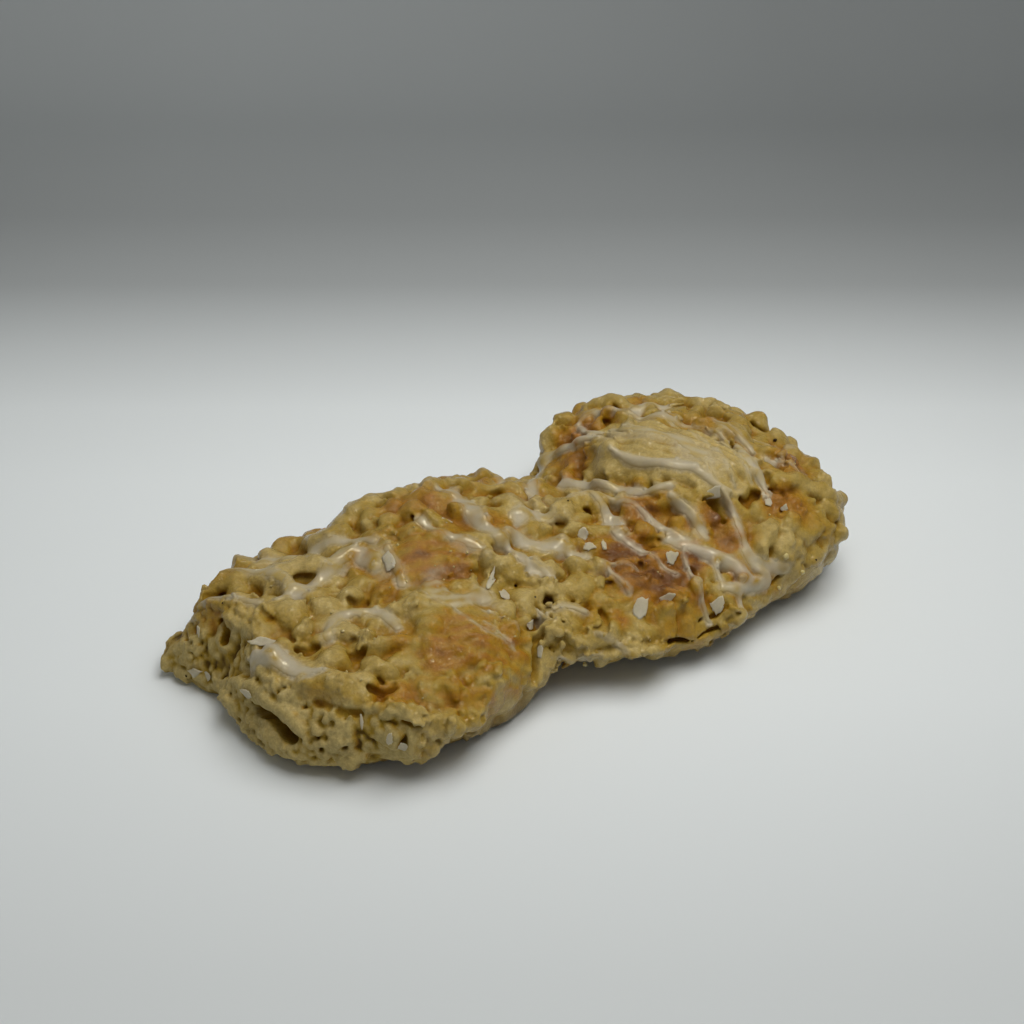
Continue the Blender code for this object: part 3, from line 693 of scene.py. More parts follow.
def add_lump_on(field, base, point, radius, stands, softness=0.5, longest=1.25):
    """One lump of streusel on a surface at a point, whose top stands out from it by so much."""
    normal = slopes(base, point[None], 1.5)[0]
    deep = radius * picks.uniform(0.8, 1.0)
    half = (radius * picks.uniform(0.95, longest), radius * picks.uniform(0.85, 1.05), deep)
    middle = point - normal * (deep - stands)
    add_lump(field, warp, middle, half, facing(normal, picks.uniform(0, 6.3)), softness)


def smooth_line(points, step):
    """Points about a step apart on a smooth curve through the ones given."""
    points = [np.asarray(point, float) for point in points]
    if len(points) == 2:
        points = [points[0], (points[0] + points[1]) / 2, points[1]]
    ends = [2 * points[0] - points[1], *points, 2 * points[-1] - points[-2]]
    line = []
    for a, b, c, d in zip(ends, ends[1:], ends[2:], ends[3:]):
        count = max(1, round(np.linalg.norm(c - b) / step))
        for k in range(count):
            t = k / count
            curve = 2 * b + (c - a) * t + (2 * a - 5 * b + 4 * c - d) * t**2 + (3 * b - a - 3 * c + d) * t**3
            line.append(curve / 2)
    line.append(points[-1])
    return line


def add_roll(field, pixels, radius, stands):
    """A roll of streusel: lumps in a row that run into each other."""
    corners = [cast(dough, pixel) for pixel in pixels]
    scale = sum(size for _, size in corners) / len(corners)
    for point in smooth_line([place for place, _ in corners], radius * scale * 0.6):
        size = radius * scale * picks.uniform(0.9, 1.08)
        add_lump_on(field, dough, point, size, stands * picks.uniform(0.85, 1.1), softness=1.4)


def spread_points(points, spacing, wanted, taken=(), gap=0.0):
    """Which of the points to use, in random order, so that they keep their distance from each other."""
    kept, cells = [], {}
    taken = np.array(taken) if len(taken) else np.zeros((0, 3))
    for index in picks.permutation(len(points)):
        point = points[index]
        if len(taken) and np.min(np.sum((taken - point) ** 2, axis=1)) < gap**2:
            continue
        key = tuple((point // spacing).astype(int))
        near = [
            other
            for dx in (-1, 0, 1)
            for dy in (-1, 0, 1)
            for dz in (-1, 0, 1)
            for other in cells.get((key[0] + dx, key[1] + dy, key[2] + dz), ())
        ]
        if all(np.sum((point - points[other]) ** 2) > spacing**2 for other in near):
            cells.setdefault(key, []).append(index)
            kept.append(index)
            if len(kept) == wanted:
                break
    return points[kept]


def surface_places(field):
    """Points all over the part of a field's surface that lies above the floor."""
    return surface_of(np.maximum(field, -Z))[0].astype(np.float32)


def chosen(points, chances):
    """Some of the points, each taken with its own chance."""
    return points[picks.uniform(0, 1, len(points)) < chances]


def strew(field, base, points, kind, taken=(), gap=0.0):
    """Adds lumps of one kind at some of the points, clear of the places that are taken."""
    for point in spread_points(points, kind["spacing"], kind["most"], taken, gap):
        radius = picks.uniform(*kind["radius"])
        stands = picks.uniform(*kind["stands"]) * (radius if "in_radii" in kind else 1)
        add_lump_on(field, base, point, radius, stands, kind["softness"], kind["longest"])


# ---- meshes ----


def bad_cases():
    """For each way a cell's corners can lie inside, whether its surface would touch itself."""
    corners = [(k >> 2 & 1, k >> 1 & 1, k & 1) for k in range(8)]
    beside = [[sum(abs(a - b) for a, b in zip(p, q)) == 1 for q in corners] for p in corners]
    bad = np.zeros(256, bool)
    for case in range(256):
        for side in (0, 1):
            members = [k for k in range(8) if (case >> k & 1) == side]
            if not members:
                continue
            reached, growing = {members[0]}, [members[0]]
            while growing:
                here = growing.pop()
                for other in members:
                    if beside[here][other] and other not in reached:
                        reached.add(other)
                        growing.append(other)
            if len(reached) < len(members):
                bad[case] = True
        for axis in range(3):
            for level in (0, 1):
                face = [k for k in range(8) if corners[k][axis] == level]
                inside = [k for k in face if case >> k & 1]
                if len(inside) == 2 and not beside[inside[0]][inside[1]]:
                    bad[case] = True
    return bad


def cell_cases(field):
    """For each cell, which of its eight corners lie inside, as a number."""
    cases = np.zeros([n - 1 for n in field.shape], np.uint8)
    for k in range(8):
        a, b, c = k >> 2 & 1, k >> 1 & 1, k & 1
        view = field[a : field.shape[0] - 1 + a, b : field.shape[1] - 1 + b, c : field.shape[2] - 1 + c]
        cases |= (view < 0).astype(np.uint8) << k
    return cases


def without_pinches(field):
    """The field with cells filled where its surface would touch itself."""
    bad = bad_cases()
    field = field.copy()
    for _ in range(40):
        cells = np.argwhere(bad[cell_cases(field)])
        if len(cells) == 0:
            break
        for k in range(8):
            at = cells + np.array([k >> 2 & 1, k >> 1 & 1, k & 1])
            here = tuple(at.T)
            field[here] = np.minimum(field[here], -0.05 * CELL)
    return field


def surface_of(field):
    """Vertices in mm and quads of the closed surface along the field's zero level."""
    field = field.copy()
    for axis in range(3):
        edge = np.moveaxis(field, axis, 0)
        edge[0] = edge[-1] = 0.5
    field = without_pinches(field)
    cases = cell_cases(field)
    cells = np.argwhere((cases > 0) & (cases < 255))
    index = np.full(cases.shape, -1, np.int32)
    index[tuple(cells.T)] = np.arange(len(cells))
    total = np.zeros((len(cells), 3), np.float32)
    crossings = np.zeros(len(cells), np.float32)
    for first in range(8):
        for axis in range(3):
            step = np.array([first >> 2 & 1, first >> 1 & 1, first & 1])
            if step[axis]:
                continue
            other = step.copy()
            other[axis] = 1
            a = field[tuple((cells + step).T)]
            b = field[tuple((cells + other).T)]
            cross = (a < 0) != (b < 0)
            share = np.where(cross, a / np.where(cross, a - b, 1), 0)
            place = np.repeat(step[None].astype(np.float32), len(cells), axis=0)
            place[:, axis] += share
            total += place * cross[:, None]
            crossings += cross
    vertices = (cells + total / crossings[:, None]) * CELL + np.array([axis[0] for axis in AXES])
    quads = []
    for axis in range(3):
        u, v = (axis + 1) % 3, (axis + 2) % 3
        low = np.moveaxis(field, axis, 0)[:-1]
        high = np.moveaxis(field, axis, 0)[1:]
        for inside_low in (True, False):
            change = (low < 0) & (high >= 0) if inside_low else (low >= 0) & (high < 0)
            at = np.argwhere(np.moveaxis(change, 0, axis))
            corners = []
            for du, dv in ((-1, -1), (0, -1), (0, 0), (-1, 0)):
                shift = np.zeros(3, int)
                shift[u], shift[v] = du, dv
                corners.append(index[tuple((at + shift).T)])
            faces = np.stack(corners, axis=1)
            quads.append(faces if inside_low else faces[:, ::-1])
    return vertices, np.concatenate(quads)


def largest_parts(vertices, faces, least_share):
    """Drops the closed parts of a surface that are smaller than a share of its largest one."""
    label = np.arange(len(vertices))
    while True:
        lowest = label[faces].min(axis=1)
        changed = label.copy()
        np.minimum.at(changed, faces.ravel(), np.repeat(lowest, faces.shape[1]))
        changed = changed[changed]
        if np.array_equal(changed, label):
            break
        label = changed
    counts = np.bincount(label, minlength=len(vertices))
    kept = counts[label] >= least_share * counts.max()
    renumbered = np.cumsum(kept) - 1
    return vertices[kept], renumbered[faces[kept[faces[:, 0]]]]


def make_piece(name, vertices, faces):
    """A smooth object from vertices in mm about the bar and faces of one size."""
    mesh = bpy.data.meshes.new(name)
    sides = faces.shape[1]
    mesh.vertices.add(len(vertices))
    mesh.loops.add(faces.size)
    mesh.polygons.add(len(faces))
    placed = (np.asarray(vertices) - np.array(CENTRING)) * MM
    mesh.vertices.foreach_set("co", placed.astype(np.float32).ravel())
    mesh.loops.foreach_set("vertex_index", faces.astype(np.int32).ravel())
    mesh.polygons.foreach_set("loop_start", np.arange(0, faces.size, sides, dtype=np.int32))
    mesh.update(calc_edges=True)
    mesh.validate()
    mesh.shade_smooth()
    piece = bpy.data.objects.new(name, mesh)
    bpy.context.scene.collection.objects.link(piece)
    return piece


def thin_out(piece, most_triangles):
    """Joins triangles where the surface is flattest, down to a number of them."""
    triangles = sum(len(face.vertices) - 2 for face in piece.data.polygons)
    if triangles <= most_triangles:
        return
    modifier = piece.modifiers.new("thin_out", "DECIMATE")
    modifier.ratio = most_triangles / triangles
    bpy.context.view_layer.objects.active = piece
    bpy.ops.object.modifier_apply(modifier=modifier.name)


def places_of(piece):
    """The vertices of a piece in mm about the bar."""
    flat = np.empty(len(piece.data.vertices) * 3, np.float32)
    piece.data.vertices.foreach_get("co", flat)
    return flat.reshape(-1, 3) / MM + np.array(CENTRING, np.float32)


def normals_of(piece):
    flat = np.empty(len(piece.data.vertices) * 3, np.float32)
    piece.data.vertices.foreach_get("normal", flat)
    return flat.reshape(-1, 3)


def set_colours(piece, name, colours):
    attribute = piece.data.attributes.new(name, "FLOAT_COLOR", "POINT")
    values = np.concatenate([colours, np.ones((len(colours), 1))], axis=1).astype(np.float32)
    attribute.data.foreach_set("color", values.ravel())


def set_values(piece, name, values):
    attribute = piece.data.attributes.new(name, "FLOAT", "POINT")
    attribute.data.foreach_set("value", np.asarray(values, np.float32))


# ---- colour ----


def light_share(colour):
    """What share of the light a surface gives back where the photograph shows this colour."""
    value = np.asarray(colour, float) / 255
    linear = np.where(value <= 0.04045, value / 12.92, ((value + 0.055) / 1.055) ** 2.4)
    brightness = float(np.dot(linear, (0.3, 0.6, 0.1)))
    return np.maximum(linear - SHEEN * min(1.0, brightness / 0.2), 0.003) / LIGHT_ON_TOP


def mixed(a, b, share):
    share = np.clip(share, 0, 1)[..., None]
    return a * (1 - share) + b * share


def ramp(value, stops):
    """A colour for each value, between stops of (value, colour)."""
    marks = [mark for mark, _ in stops]
    colours = np.array([light_share(colour) for _, colour in stops])
    return np.stack([np.interp(value, marks, colours[:, k]) for k in range(3)], axis=-1)


# ---- the pastry's body ----

picks = np.random.default_rng(SEED)
dough = bare_dough()

wide = lattice_noise(picks, 12.0)
lumpy = lattice_noise(picks, 4.0)
fine = lattice_noise(picks, 1.7)
finest = lattice_noise(picks, 0.95)
wobble = lattice_noise(picks, 3.2)
warp = [0.6 * lattice_noise(picks, 2.8) + 0.8 * lattice_noise(picks, 6.0) for _ in range(3)]

baked = spot_grid(BAKED)
bare = spot_grid(BARE)
pale = spot_grid(PALE)
granular = spot_grid(GRANULAR)
rubble = spot_grid(RUBBLE)
streaks = np.sin((0.35 * X + 0.94 * Y + 0.3 * Z) * 2.3 + 3.0 * lumpy + 2.0 * wobble).astype(np.float32)


def tear_x(y):
    """How far along the bar the tear runs, at these places across it."""
    order = sorted((b, a) for a, b in TEAR_LINE)
    return np.interp(y, [p[0] for p in order], [p[1] for p in order])


def crust_relief():
    """Wrinkles and streaks of the bare crust, in mm."""
    folds = 1 - np.abs(lattice_noise(picks, (2.4, 4.6, 2.6))) * 1.6
    return FOLD_HEIGHT * folds + STREAK_HEIGHT * streaks + CRUST_GRAIN[0] * fine + CRUST_GRAIN[1] * finest


def side_leaves():
    """Thin leaves of dough that show along the lower sides, mostly of the foot, in mm."""
    leaves = lattice_noise(picks, (11.0, 11.0, 1.1)) + 0.5 * lattice_noise(picks, (6.0, 6.0, 2.4))
    return LEAF_HEIGHT * leaves * (band(Z, 0.6, 1.8, 5.5, 9.0) * (0.3 + 0.7 * smooth_step(X, -8, 4)))


under = UNDER_STREUSEL * smooth_step(Z, 2.0, 7.0)
body = dough + UNEVENNESS * wide + under * (1 - bare) - side_leaves()
body -= (OVER_CRUST + crust_relief()) * bare

surface_points = surface_places(dough)
surface_points = surface_points[surface_points[:, 2] > 2.5]
behind_tear = surface_points[:, 0] > tear_x(surface_points[:, 1]) + 1.5
coverage = smooth_step(surface_points[:, 2], 3.5, 7.0) * (1 - sample(bare, surface_points)) * behind_tear
streusel_points = chosen(surface_points, coverage)

main_places = [cast(dough, lump[:2])[0] for lump in LUMPS]
roll_places = []
for pixels, radius, stands in ROLLS:
    roll_places += smooth_line([cast(dough, pixel)[0] for pixel in pixels], 2.0)
strew(body, dough, streusel_points, LARGE_STREUSEL, np.array(main_places + roll_places), STREUSEL_GAP)
strew(body, dough, streusel_points, SMALL_STREUSEL)
for pixels, radius, stands in ROLLS:
    add_roll(body, pixels, radius, stands)
for (x, y, radius, stands), place in zip(LUMPS, main_places):
    scale = np.linalg.norm(place - CAMERA_AT) / FOCAL_PIXELS
    add_lump_on(body, dough, place, radius * scale * 1.04, stands)


def slab_place(x, y):
    """How far along and across the pale slab a place lies, in its half sizes."""
    angle = math.radians(SLAB_TURN)
    along = ((x - SLAB_MIDDLE[0]) * math.cos(angle) + (y - SLAB_MIDDLE[1]) * math.sin(angle)) / SLAB_HALF[0]
    across = ((y - SLAB_MIDDLE[1]) * math.cos(angle) - (x - SLAB_MIDDLE[0]) * math.sin(angle)) / SLAB_HALF[1]
    return along, across


def add_slab(field):
    """The pale cake of streusel on the tall end, with fine ridges along it."""
    cut, (x, y, z) = window((15, -28, 8), (68, 30, 38))
    along, across = slab_place(x + warp[0][cut] * 0.8, y + warp[1][cut] * 0.8)
    out = (np.abs(along) ** 3 + np.abs(across) ** 3) ** (1 / 3)
    height = (dough[cut] + 0.3) / SLAB_HALF[2]
    level = (out**3 + np.abs(height) ** 3) ** (1 / 3)
    waves = np.sin(across * SLAB_RIDGES + along * 3.0 + lumpy[cut] * 1.2)
    ridges = waves * SLAB_RIDGE_HEIGHT * smooth_step(across, -0.7, 0.1)
    slab = (level - 1) * SLAB_HALF[2] + ridges - 0.4 * lumpy[cut]
    flatter = np.maximum(field[cut], blurred(field[cut], 1.6))
    field[cut] = joined(np.where(out < 0.95, flatter, field[cut]), slab.astype(np.float32), 0.5)


add_slab(body)
slab_end, slab_scale = cast(body, SLAB_LUMP[:2])
add_lump_on(body, body, slab_end, SLAB_LUMP[2] * slab_scale, SLAB_LUMP[3])
body = without_pits(body, 1.3, 0.3)
wrinkled = 1 - 2.4 * np.abs(lattice_noise(picks, 2.3))
slab_along, slab_across = slab_place(X, Y)
off_slab = 0.3 + 0.7 * smooth_step(np.maximum(np.abs(slab_along), np.abs(slab_across)), 0.75, 1.0)
off_slab = np.where(Z > 14, off_slab, 1.0).astype(np.float32)
body -= (STREUSEL_GRAIN[0] * fine + STREUSEL_GRAIN[1] * finest) * (1 - 0.4 * bare) * off_slab
body -= WRINKLE_HEIGHT * wrinkled * (1 - 0.7 * bare) * off_slab
body = without_pits(body, 1.6, 0.45)

grain_points = surface_places(body)
grain_points = chosen(grain_points, np.clip(sample(granular, grain_points) * 1.4 - 0.35, 0, 1))
strew(body, body, grain_points, CRUST_SUGAR)
rubble_points = surface_places(body)
chances = sample(rubble, rubble_points) * smooth_step(rubble_points[:, 2], 2.0, 4.0)
strew(body, body, chosen(rubble_points, chances), SIDE_RUBBLE)


def tear_off(field):
    """Cuts the torn end: a ragged face of open crumb, rough down to its finest threads."""
    cut, (x, y, z) = window((-80, -45, -3), (-44, 55, 45))
    lean = np.interp(AXES[2][cut[2]], [p[0] for p in TEAR_LEAN], [p[1] for p in TEAR_LEAN])
    corner = smooth_step(y, 6, 20) * smooth_step(z, 4, 11) * FAR_CORNER_LEAN
    line = tear_x(AXES[1][cut[1]])[None, :, None] + lean[None, None, :] + corner
    rough = sum(height * noise[cut] for height, noise in zip(TEAR_ROUGHNESS, (lumpy, fine, finest)))
    rough = rough * (ROUGH_AT_FLOOR + (1 - ROUGH_AT_FLOOR) * smooth_step(z, 0, 4))
    beyond = (line - x + rough).astype(np.float32)
    field[cut] = shared(field[cut], beyond, 0.4)


tear_off(body)
torn_base = blurred(body, 1.2)
for x, y, radius in TORN_CRUMBS:
    place, scale = cast(torn_base, (x, y))
    add_lump_on(body, torn_base, place, radius * scale * 0.8, 0.6, 0.4)
crumb_points = surface_places(body)
past_tear = crumb_points[:, 0] - tear_x(crumb_points[:, 1])
chances = smooth_step(9.0 - past_tear, 0, 4.0) * smooth_step(crumb_points[:, 2], 0.3, 1.2)
chances *= 1 - 0.6 * smooth_step(crumb_points[:, 2] + past_tear, 14.0, 18.0)
chances *= 1 - smooth_step(crumb_points[:, 1], 20.0, 25.0)
strew(body, torn_base, chosen(crumb_points, chances), OPEN_CRUMB)


def dig(field, pixel, radius, depth):
    """A small dark pit into the surface at a pixel."""
    place, scale = cast(groove_base, pixel)
    normal = slopes(groove_base, place[None], 1.5)[0]
    reach = radius * scale
    middle = place - normal * (depth - reach) * 0.5
    cut, (x, y, z) = window(middle - reach - depth - 1, middle + reach + depth + 1)
    away = [x + warp[0][cut] - middle[0], y + warp[1][cut] - middle[1], z + warp[2][cut] - middle[2]]
    lift = sum(away[k] * normal[k] for k in range(3))
    flat = sum((away[k] - lift * normal[k]) ** 2 for k in range(3))
    hole = (np.sqrt(flat / reach**2 + (lift / depth) ** 2) - 1) * min(reach, depth)
    field[cut] = shared(field[cut], -hole.astype(np.float32), 0.5)


body = without_spikes(body, 2.2, 1.0)
groove_base = blurred(body, 0.8)
for pixels, radius, depth in GROOVES:
    for pixel in smooth_line(pixels, GROOVE_STEP):
        dig(body, pixel, radius * picks.uniform(*GROOVE_RADIUS), depth * picks.uniform(*GROOVE_DEPTH))
for pixel in smooth_line(LIP, LIP_STEP):
    place = cast(groove_base, pixel)[0]
    add_lump_on(body, groove_base, place, picks.uniform(*LIP_LUMP), picks.uniform(*LIP_LUMP), 0.7, 1.5)

body += FOOT_DRAWN_IN * (band(X, -12, -4, 8, 18) * smooth_step(-Y, 15, 22) * (1 - smooth_step(Z, 5, 10)))
undercut = UNDERCUT[0] + UNDERCUT[1] * (band(X, -6, 2, 38, 52) * smooth_step(-Y, -6, 4))
body += undercut * np.clip(1 - Z / UNDERCUT_TOP, 0, 1) ** UNDERCUT_POWER
body = np.clip(np.maximum(body, -Z), -FARTHEST, FARTHEST)

# ---- icing ----

icing_thickness = np.zeros(SHAPE, np.float32)
icing_cover = np.zeros(SHAPE, np.float32)
film = np.zeros(SHAPE, np.float32)


def strip(pixels, half_width, spread):
    """Steps along a line of pixels: the grid's part near each, and how many half widths away it is."""
    corners = [cast(dough, pixel) for pixel in pixels]
    half = half_width * sum(size for _, size in corners) / len(corners)
    line = smooth_line([place for place, _ in corners], 1.2)
    for a, b in zip(line, line[1:]):
        normal = slopes(dough, ((a + b) / 2)[None], 2.0)[0]
        room = half * spread + 2.0
        cut, (x, y, z) = window(np.minimum(a, b) - room, np.maximum(a, b) + room)
        if is_empty(cut):
            continue
        run = b - a
        away = [x - a[0], y - a[1], z - a[2]]
        lift = sum(away[k] * normal[k] for k in range(3))
        share = np.clip(sum(away[k] * run[k] for k in range(3)) / np.dot(run, run), 0, 1)
        flat = [away[k] - share * run[k] - lift * normal[k] for k in range(3)]
        width = half * (1 + 0.35 * wobble[cut] + 0.2 * lumpy[cut])
        gap = np.sqrt(sum(value**2 for value in flat)) / np.maximum(width, 0.2)
        yield cut, np.where(np.abs(lift) < 6, gap, 9.0)


for pixels, half_width, thickness in STRANDS:
    for cut, gap in strip(pixels, half_width, 2.0):
        inside = np.clip(1 - gap**2, 0, 1)
        icing_cover[cut] = np.maximum(icing_cover[cut], inside)
        thick = thickness * inside**1.2 * (1 + 0.35 * lumpy[cut])
        icing_thickness[cut] = np.maximum(icing_thickness[cut], thick)
        film[cut] = np.maximum(film[cut], 0.7 * np.exp(-np.clip(gap - 0.7, 0, 9) ** 2 * 4.0))
for pixels, half_width, strength in SMEARS:
    for cut, gap in strip(pixels, half_width, 1.8):
        film[cut] = np.maximum(film[cut], strength * np.exp(-1.2 * gap**2) * (0.8 + 0.5 * wobble[cut]))

# The icing's soft edges are drawn with the crust, and its body is a piece of its own a little above.
near_blur = blurred(body, 1.0)
wide_blur = blurred(body, 3.0)
crust = body
settled = blurred(crust, 1.2)
flooded = blurred(crust, 2.0)
level = settled + (flooded - settled) * smooth_step(icing_thickness, 0.45, 0.75)
level = np.where(icing_cover > 0.02, level - icing_thickness, 1.0).astype(np.float32)
body = joined(crust, level + 0.5 * np.clip(1 - 2.5 * icing_cover, 0, 1), 0.15)
body = np.maximum(body, -Z).astype(np.float32)
icing = level - ICING_STEP + 0.6 * np.clip(1 - 2 * icing_cover, 0, 1)
icing = np.maximum(icing, -(crust + ICING_ROOT))
icing = np.maximum(icing, 0.5 - Z).astype(np.float32)

# ---- colours of the pieces ----


def crust_colour(points, normals):
    """The pastry's colour at points with painted shade and light, and how far each lies in a dip and on the torn
    face.
    """
    crease = -sample(near_blur, points)
    dip = -sample(wide_blur, points)
    grain = sample(fine, points)
    patch = sample(lumpy, points)
    broad = sample(wide, points)
    # How far each point lies in a crease or dip; it drives the painted shade and painted light below.
    deep = np.clip(crease * 1.8 + dip * 0.6, -1, 1.6)
    spots = sample(baked, points)
    bake = PLAIN_BAKE + PLAIN_VARIES[0] * broad + PLAIN_VARIES[1] * patch + PLAIN_VARIES[2] * grain
    bake = np.maximum(bake, spots + SPOTS_VARY[0] * patch + SPOTS_VARY[1] * grain)
    bake = bake * (1 - PALE_HOLDS_BACK * sample(pale, points))
    along, across = slab_place(points[:, 0], points[:, 1])
    on_slab = (1 - smooth_step(np.maximum(np.abs(along), np.abs(across)), 0.85, 1.05)) * (points[:, 2] > 16)
    bake = bake * (1 - SLAB_HOLDS_BACK * on_slab)
    on_bare = STREAK_BAKE * sample(streaks, points) + GRAIN_BAKE * sample(finest, points)
    bake += on_bare * sample(bare, points)
    # Painted light on tips and painted shade in dips.
    bake -= TIP_LIGHT * np.clip(-deep, 0, 1) * (1 - np.clip(spots, 0, 1))
    bake += DIP_SHADE * np.clip(deep, 0, 1.2) * (1 - 0.5 * np.clip(spots, 0, 1))
    bake = np.clip(bake, 0, MOST_WITHOUT_SPOT + (1 - MOST_WITHOUT_SPOT) * np.clip(spots * 1.3, 0, 1))
    colour = ramp(bake, (
        (0.0, STREUSEL_PALE), (0.2, STREUSEL_TOP), (0.45, GOLDEN), (0.68, ORANGE), (1.0, DEEP_BROWN),
    ))
    # Creases are mixed towards the crease colour: painted shade.
    colour = mixed(colour, light_share(STREUSEL_CREASE_SHADE), np.clip(deep, 0, 0.9) * (bake < 0.85) * 0.8)
    torn = smooth_step(tear_x(points[:, 1]) + 5.0 + 1.0 * patch - points[:, 0], 0, 2.5)
    torn *= smooth_step(-normals[:, 0] + 0.25, 0.0, 0.5)
    # The torn face is darker in its dips, as painted shade, and varies at random over the rest.
    crumb_tone_and_shade = np.clip(0.75 - deep * 1.1 + 0.25 * grain + 0.3 * patch, 0, 1)
    colour = mixed(colour, ramp(crumb_tone_and_shade, ((0, TORN_SHADE), (0.5, TORN_GOLD), (1, TORN_CRUMB))), torn)
    # Low sides are mixed towards the darkened side colour, darker still in dips: painted shade over the dough's
    # own side colour.
    side = smooth_step(6.5 - points[:, 2] + 1.5 * patch, 0, 4.0)
    shaded_leaf = ramp(np.clip(0.75 - deep * 1.2 + 0.2 * grain, 0, 1), ((0, STREUSEL_CREASE_SHADE), (1, DOUGH_SIDE_IN_SHADE)))
    colour = mixed(colour, shaded_leaf, side * (1 - torn) * 0.85)
    return colour, deep, torn


def tint_crust(piece):
    """Colours the pastry, and sets where thin icing whitens it and where it is glazed."""
    points, normals = places_of(piece), normals_of(piece)
    colour, deep, torn = crust_colour(points, normals)
    colour = under_icing(colour, points)
    haze = np.clip(sample(film, points), 0, 1) * smooth_step(points[:, 2], 5, 8)
    # Thin icing whitens creases less, which keeps them dark: painted shade.
    haze *= np.clip(0.8 + 0.5 * sample(wobble, points) - 0.4 * deep, 0, 1) * (1 - torn)
    set_colours(piece, "tint", np.clip(colour, 0.002, 0.9))
    set_values(piece, "film", haze)
    wet = 0.9 + 0.4 * sample(granular, points) - 0.3 * haze - 0.15 * sample(bare, points)
    low = smooth_step(7.0 - points[:, 2], 0, 4.0)
    wet *= 1 - 0.9 * np.clip(deep, 0, 1)
    set_values(piece, "gloss", np.clip(wet - 0.9 * torn - 0.3 * low, 0.0, 1))


def under_icing(colour, points):
    """The colour whitened by the icing that lies over the crust at each point."""
    depth = np.clip(sample(crust, points) - 0.03, 0, 3) * np.clip(sample(icing_cover, points) * 6, 0, 1)
    return mixed(colour, light_share(ICING_MILK), 1 - np.exp(-depth / ICING_DEPTH))


def tint_icing(piece):
    """Colours the icing by what shows through it."""
    points, normals = places_of(piece), normals_of(piece)
    colour = crust_colour(points, normals)[0]
    set_colours(piece, "tint", np.clip(under_icing(colour, points), 0.002, 0.9))
    set_values(piece, "film", np.zeros(len(points)))
    set_values(piece, "gloss", np.full(len(points), 0.4))


class NodeTree:
    """Short ways to add and link shader nodes."""

    def __init__(self, name):
        self.material = bpy.data.materials.new(name)
        self.material.use_nodes = True
        self.tree = self.material.node_tree
        self.shader = self.tree.nodes["Principled BSDF"]

    def add(self, kind, **values):
        """A node whose inputs have these values; a value that is an output is linked."""
        node = self.tree.nodes.new(kind)
        for name, value in values.items():
            self.put(node.inputs[name.replace("_", " ")], value)
        return node

    def put(self, socket, value):
        if isinstance(value, bpy.types.NodeSocket):
            self.tree.links.new(value, socket)
        else:
            socket.default_value = value

    def attribute(self, name):
        node = self.tree.nodes.new("ShaderNodeAttribute")
        node.attribute_name = name
        return node

    def noise(self, size, detail, roughness=0.6):
        """Noise in features of this size in mm."""
        place = self.tree.nodes.new("ShaderNodeTexCoord").outputs["Object"]
        scale = 1 / (size * MM)
        node = self.add("ShaderNodeTexNoise", Scale=scale, Detail=detail, Roughness=roughness, Vector=place)
        return node.outputs["Fac"]

    def varied(self, noise, at_low, at_high):
        """Noise stretched from the range that it mostly keeps to onto another."""
        return self.ranged(noise, 0.3, 0.7, at_low, at_high)

    def ranged(self, value, low, high, at_low, at_high):
        """The value stretched from one range onto another, with its ends held."""
        node = self.add("ShaderNodeMapRange", Value=value)
        for name, number in (("From Min", low), ("From Max", high), ("To Min", at_low), ("To Max", at_high)):
            self.put(node.inputs[name], number)
        return node.outputs["Result"]

    def maths(self, operation, *values):
        node = self.tree.nodes.new("ShaderNodeMath")
        node.operation = operation
        for socket, value in zip(node.inputs, values):
            self.put(socket, value)
        return node.outputs["Value"]

    def bump(self, height, distance):
        return self.add("ShaderNodeBump", Strength=1.0, Distance=distance * MM, Height=height).outputs["Normal"]


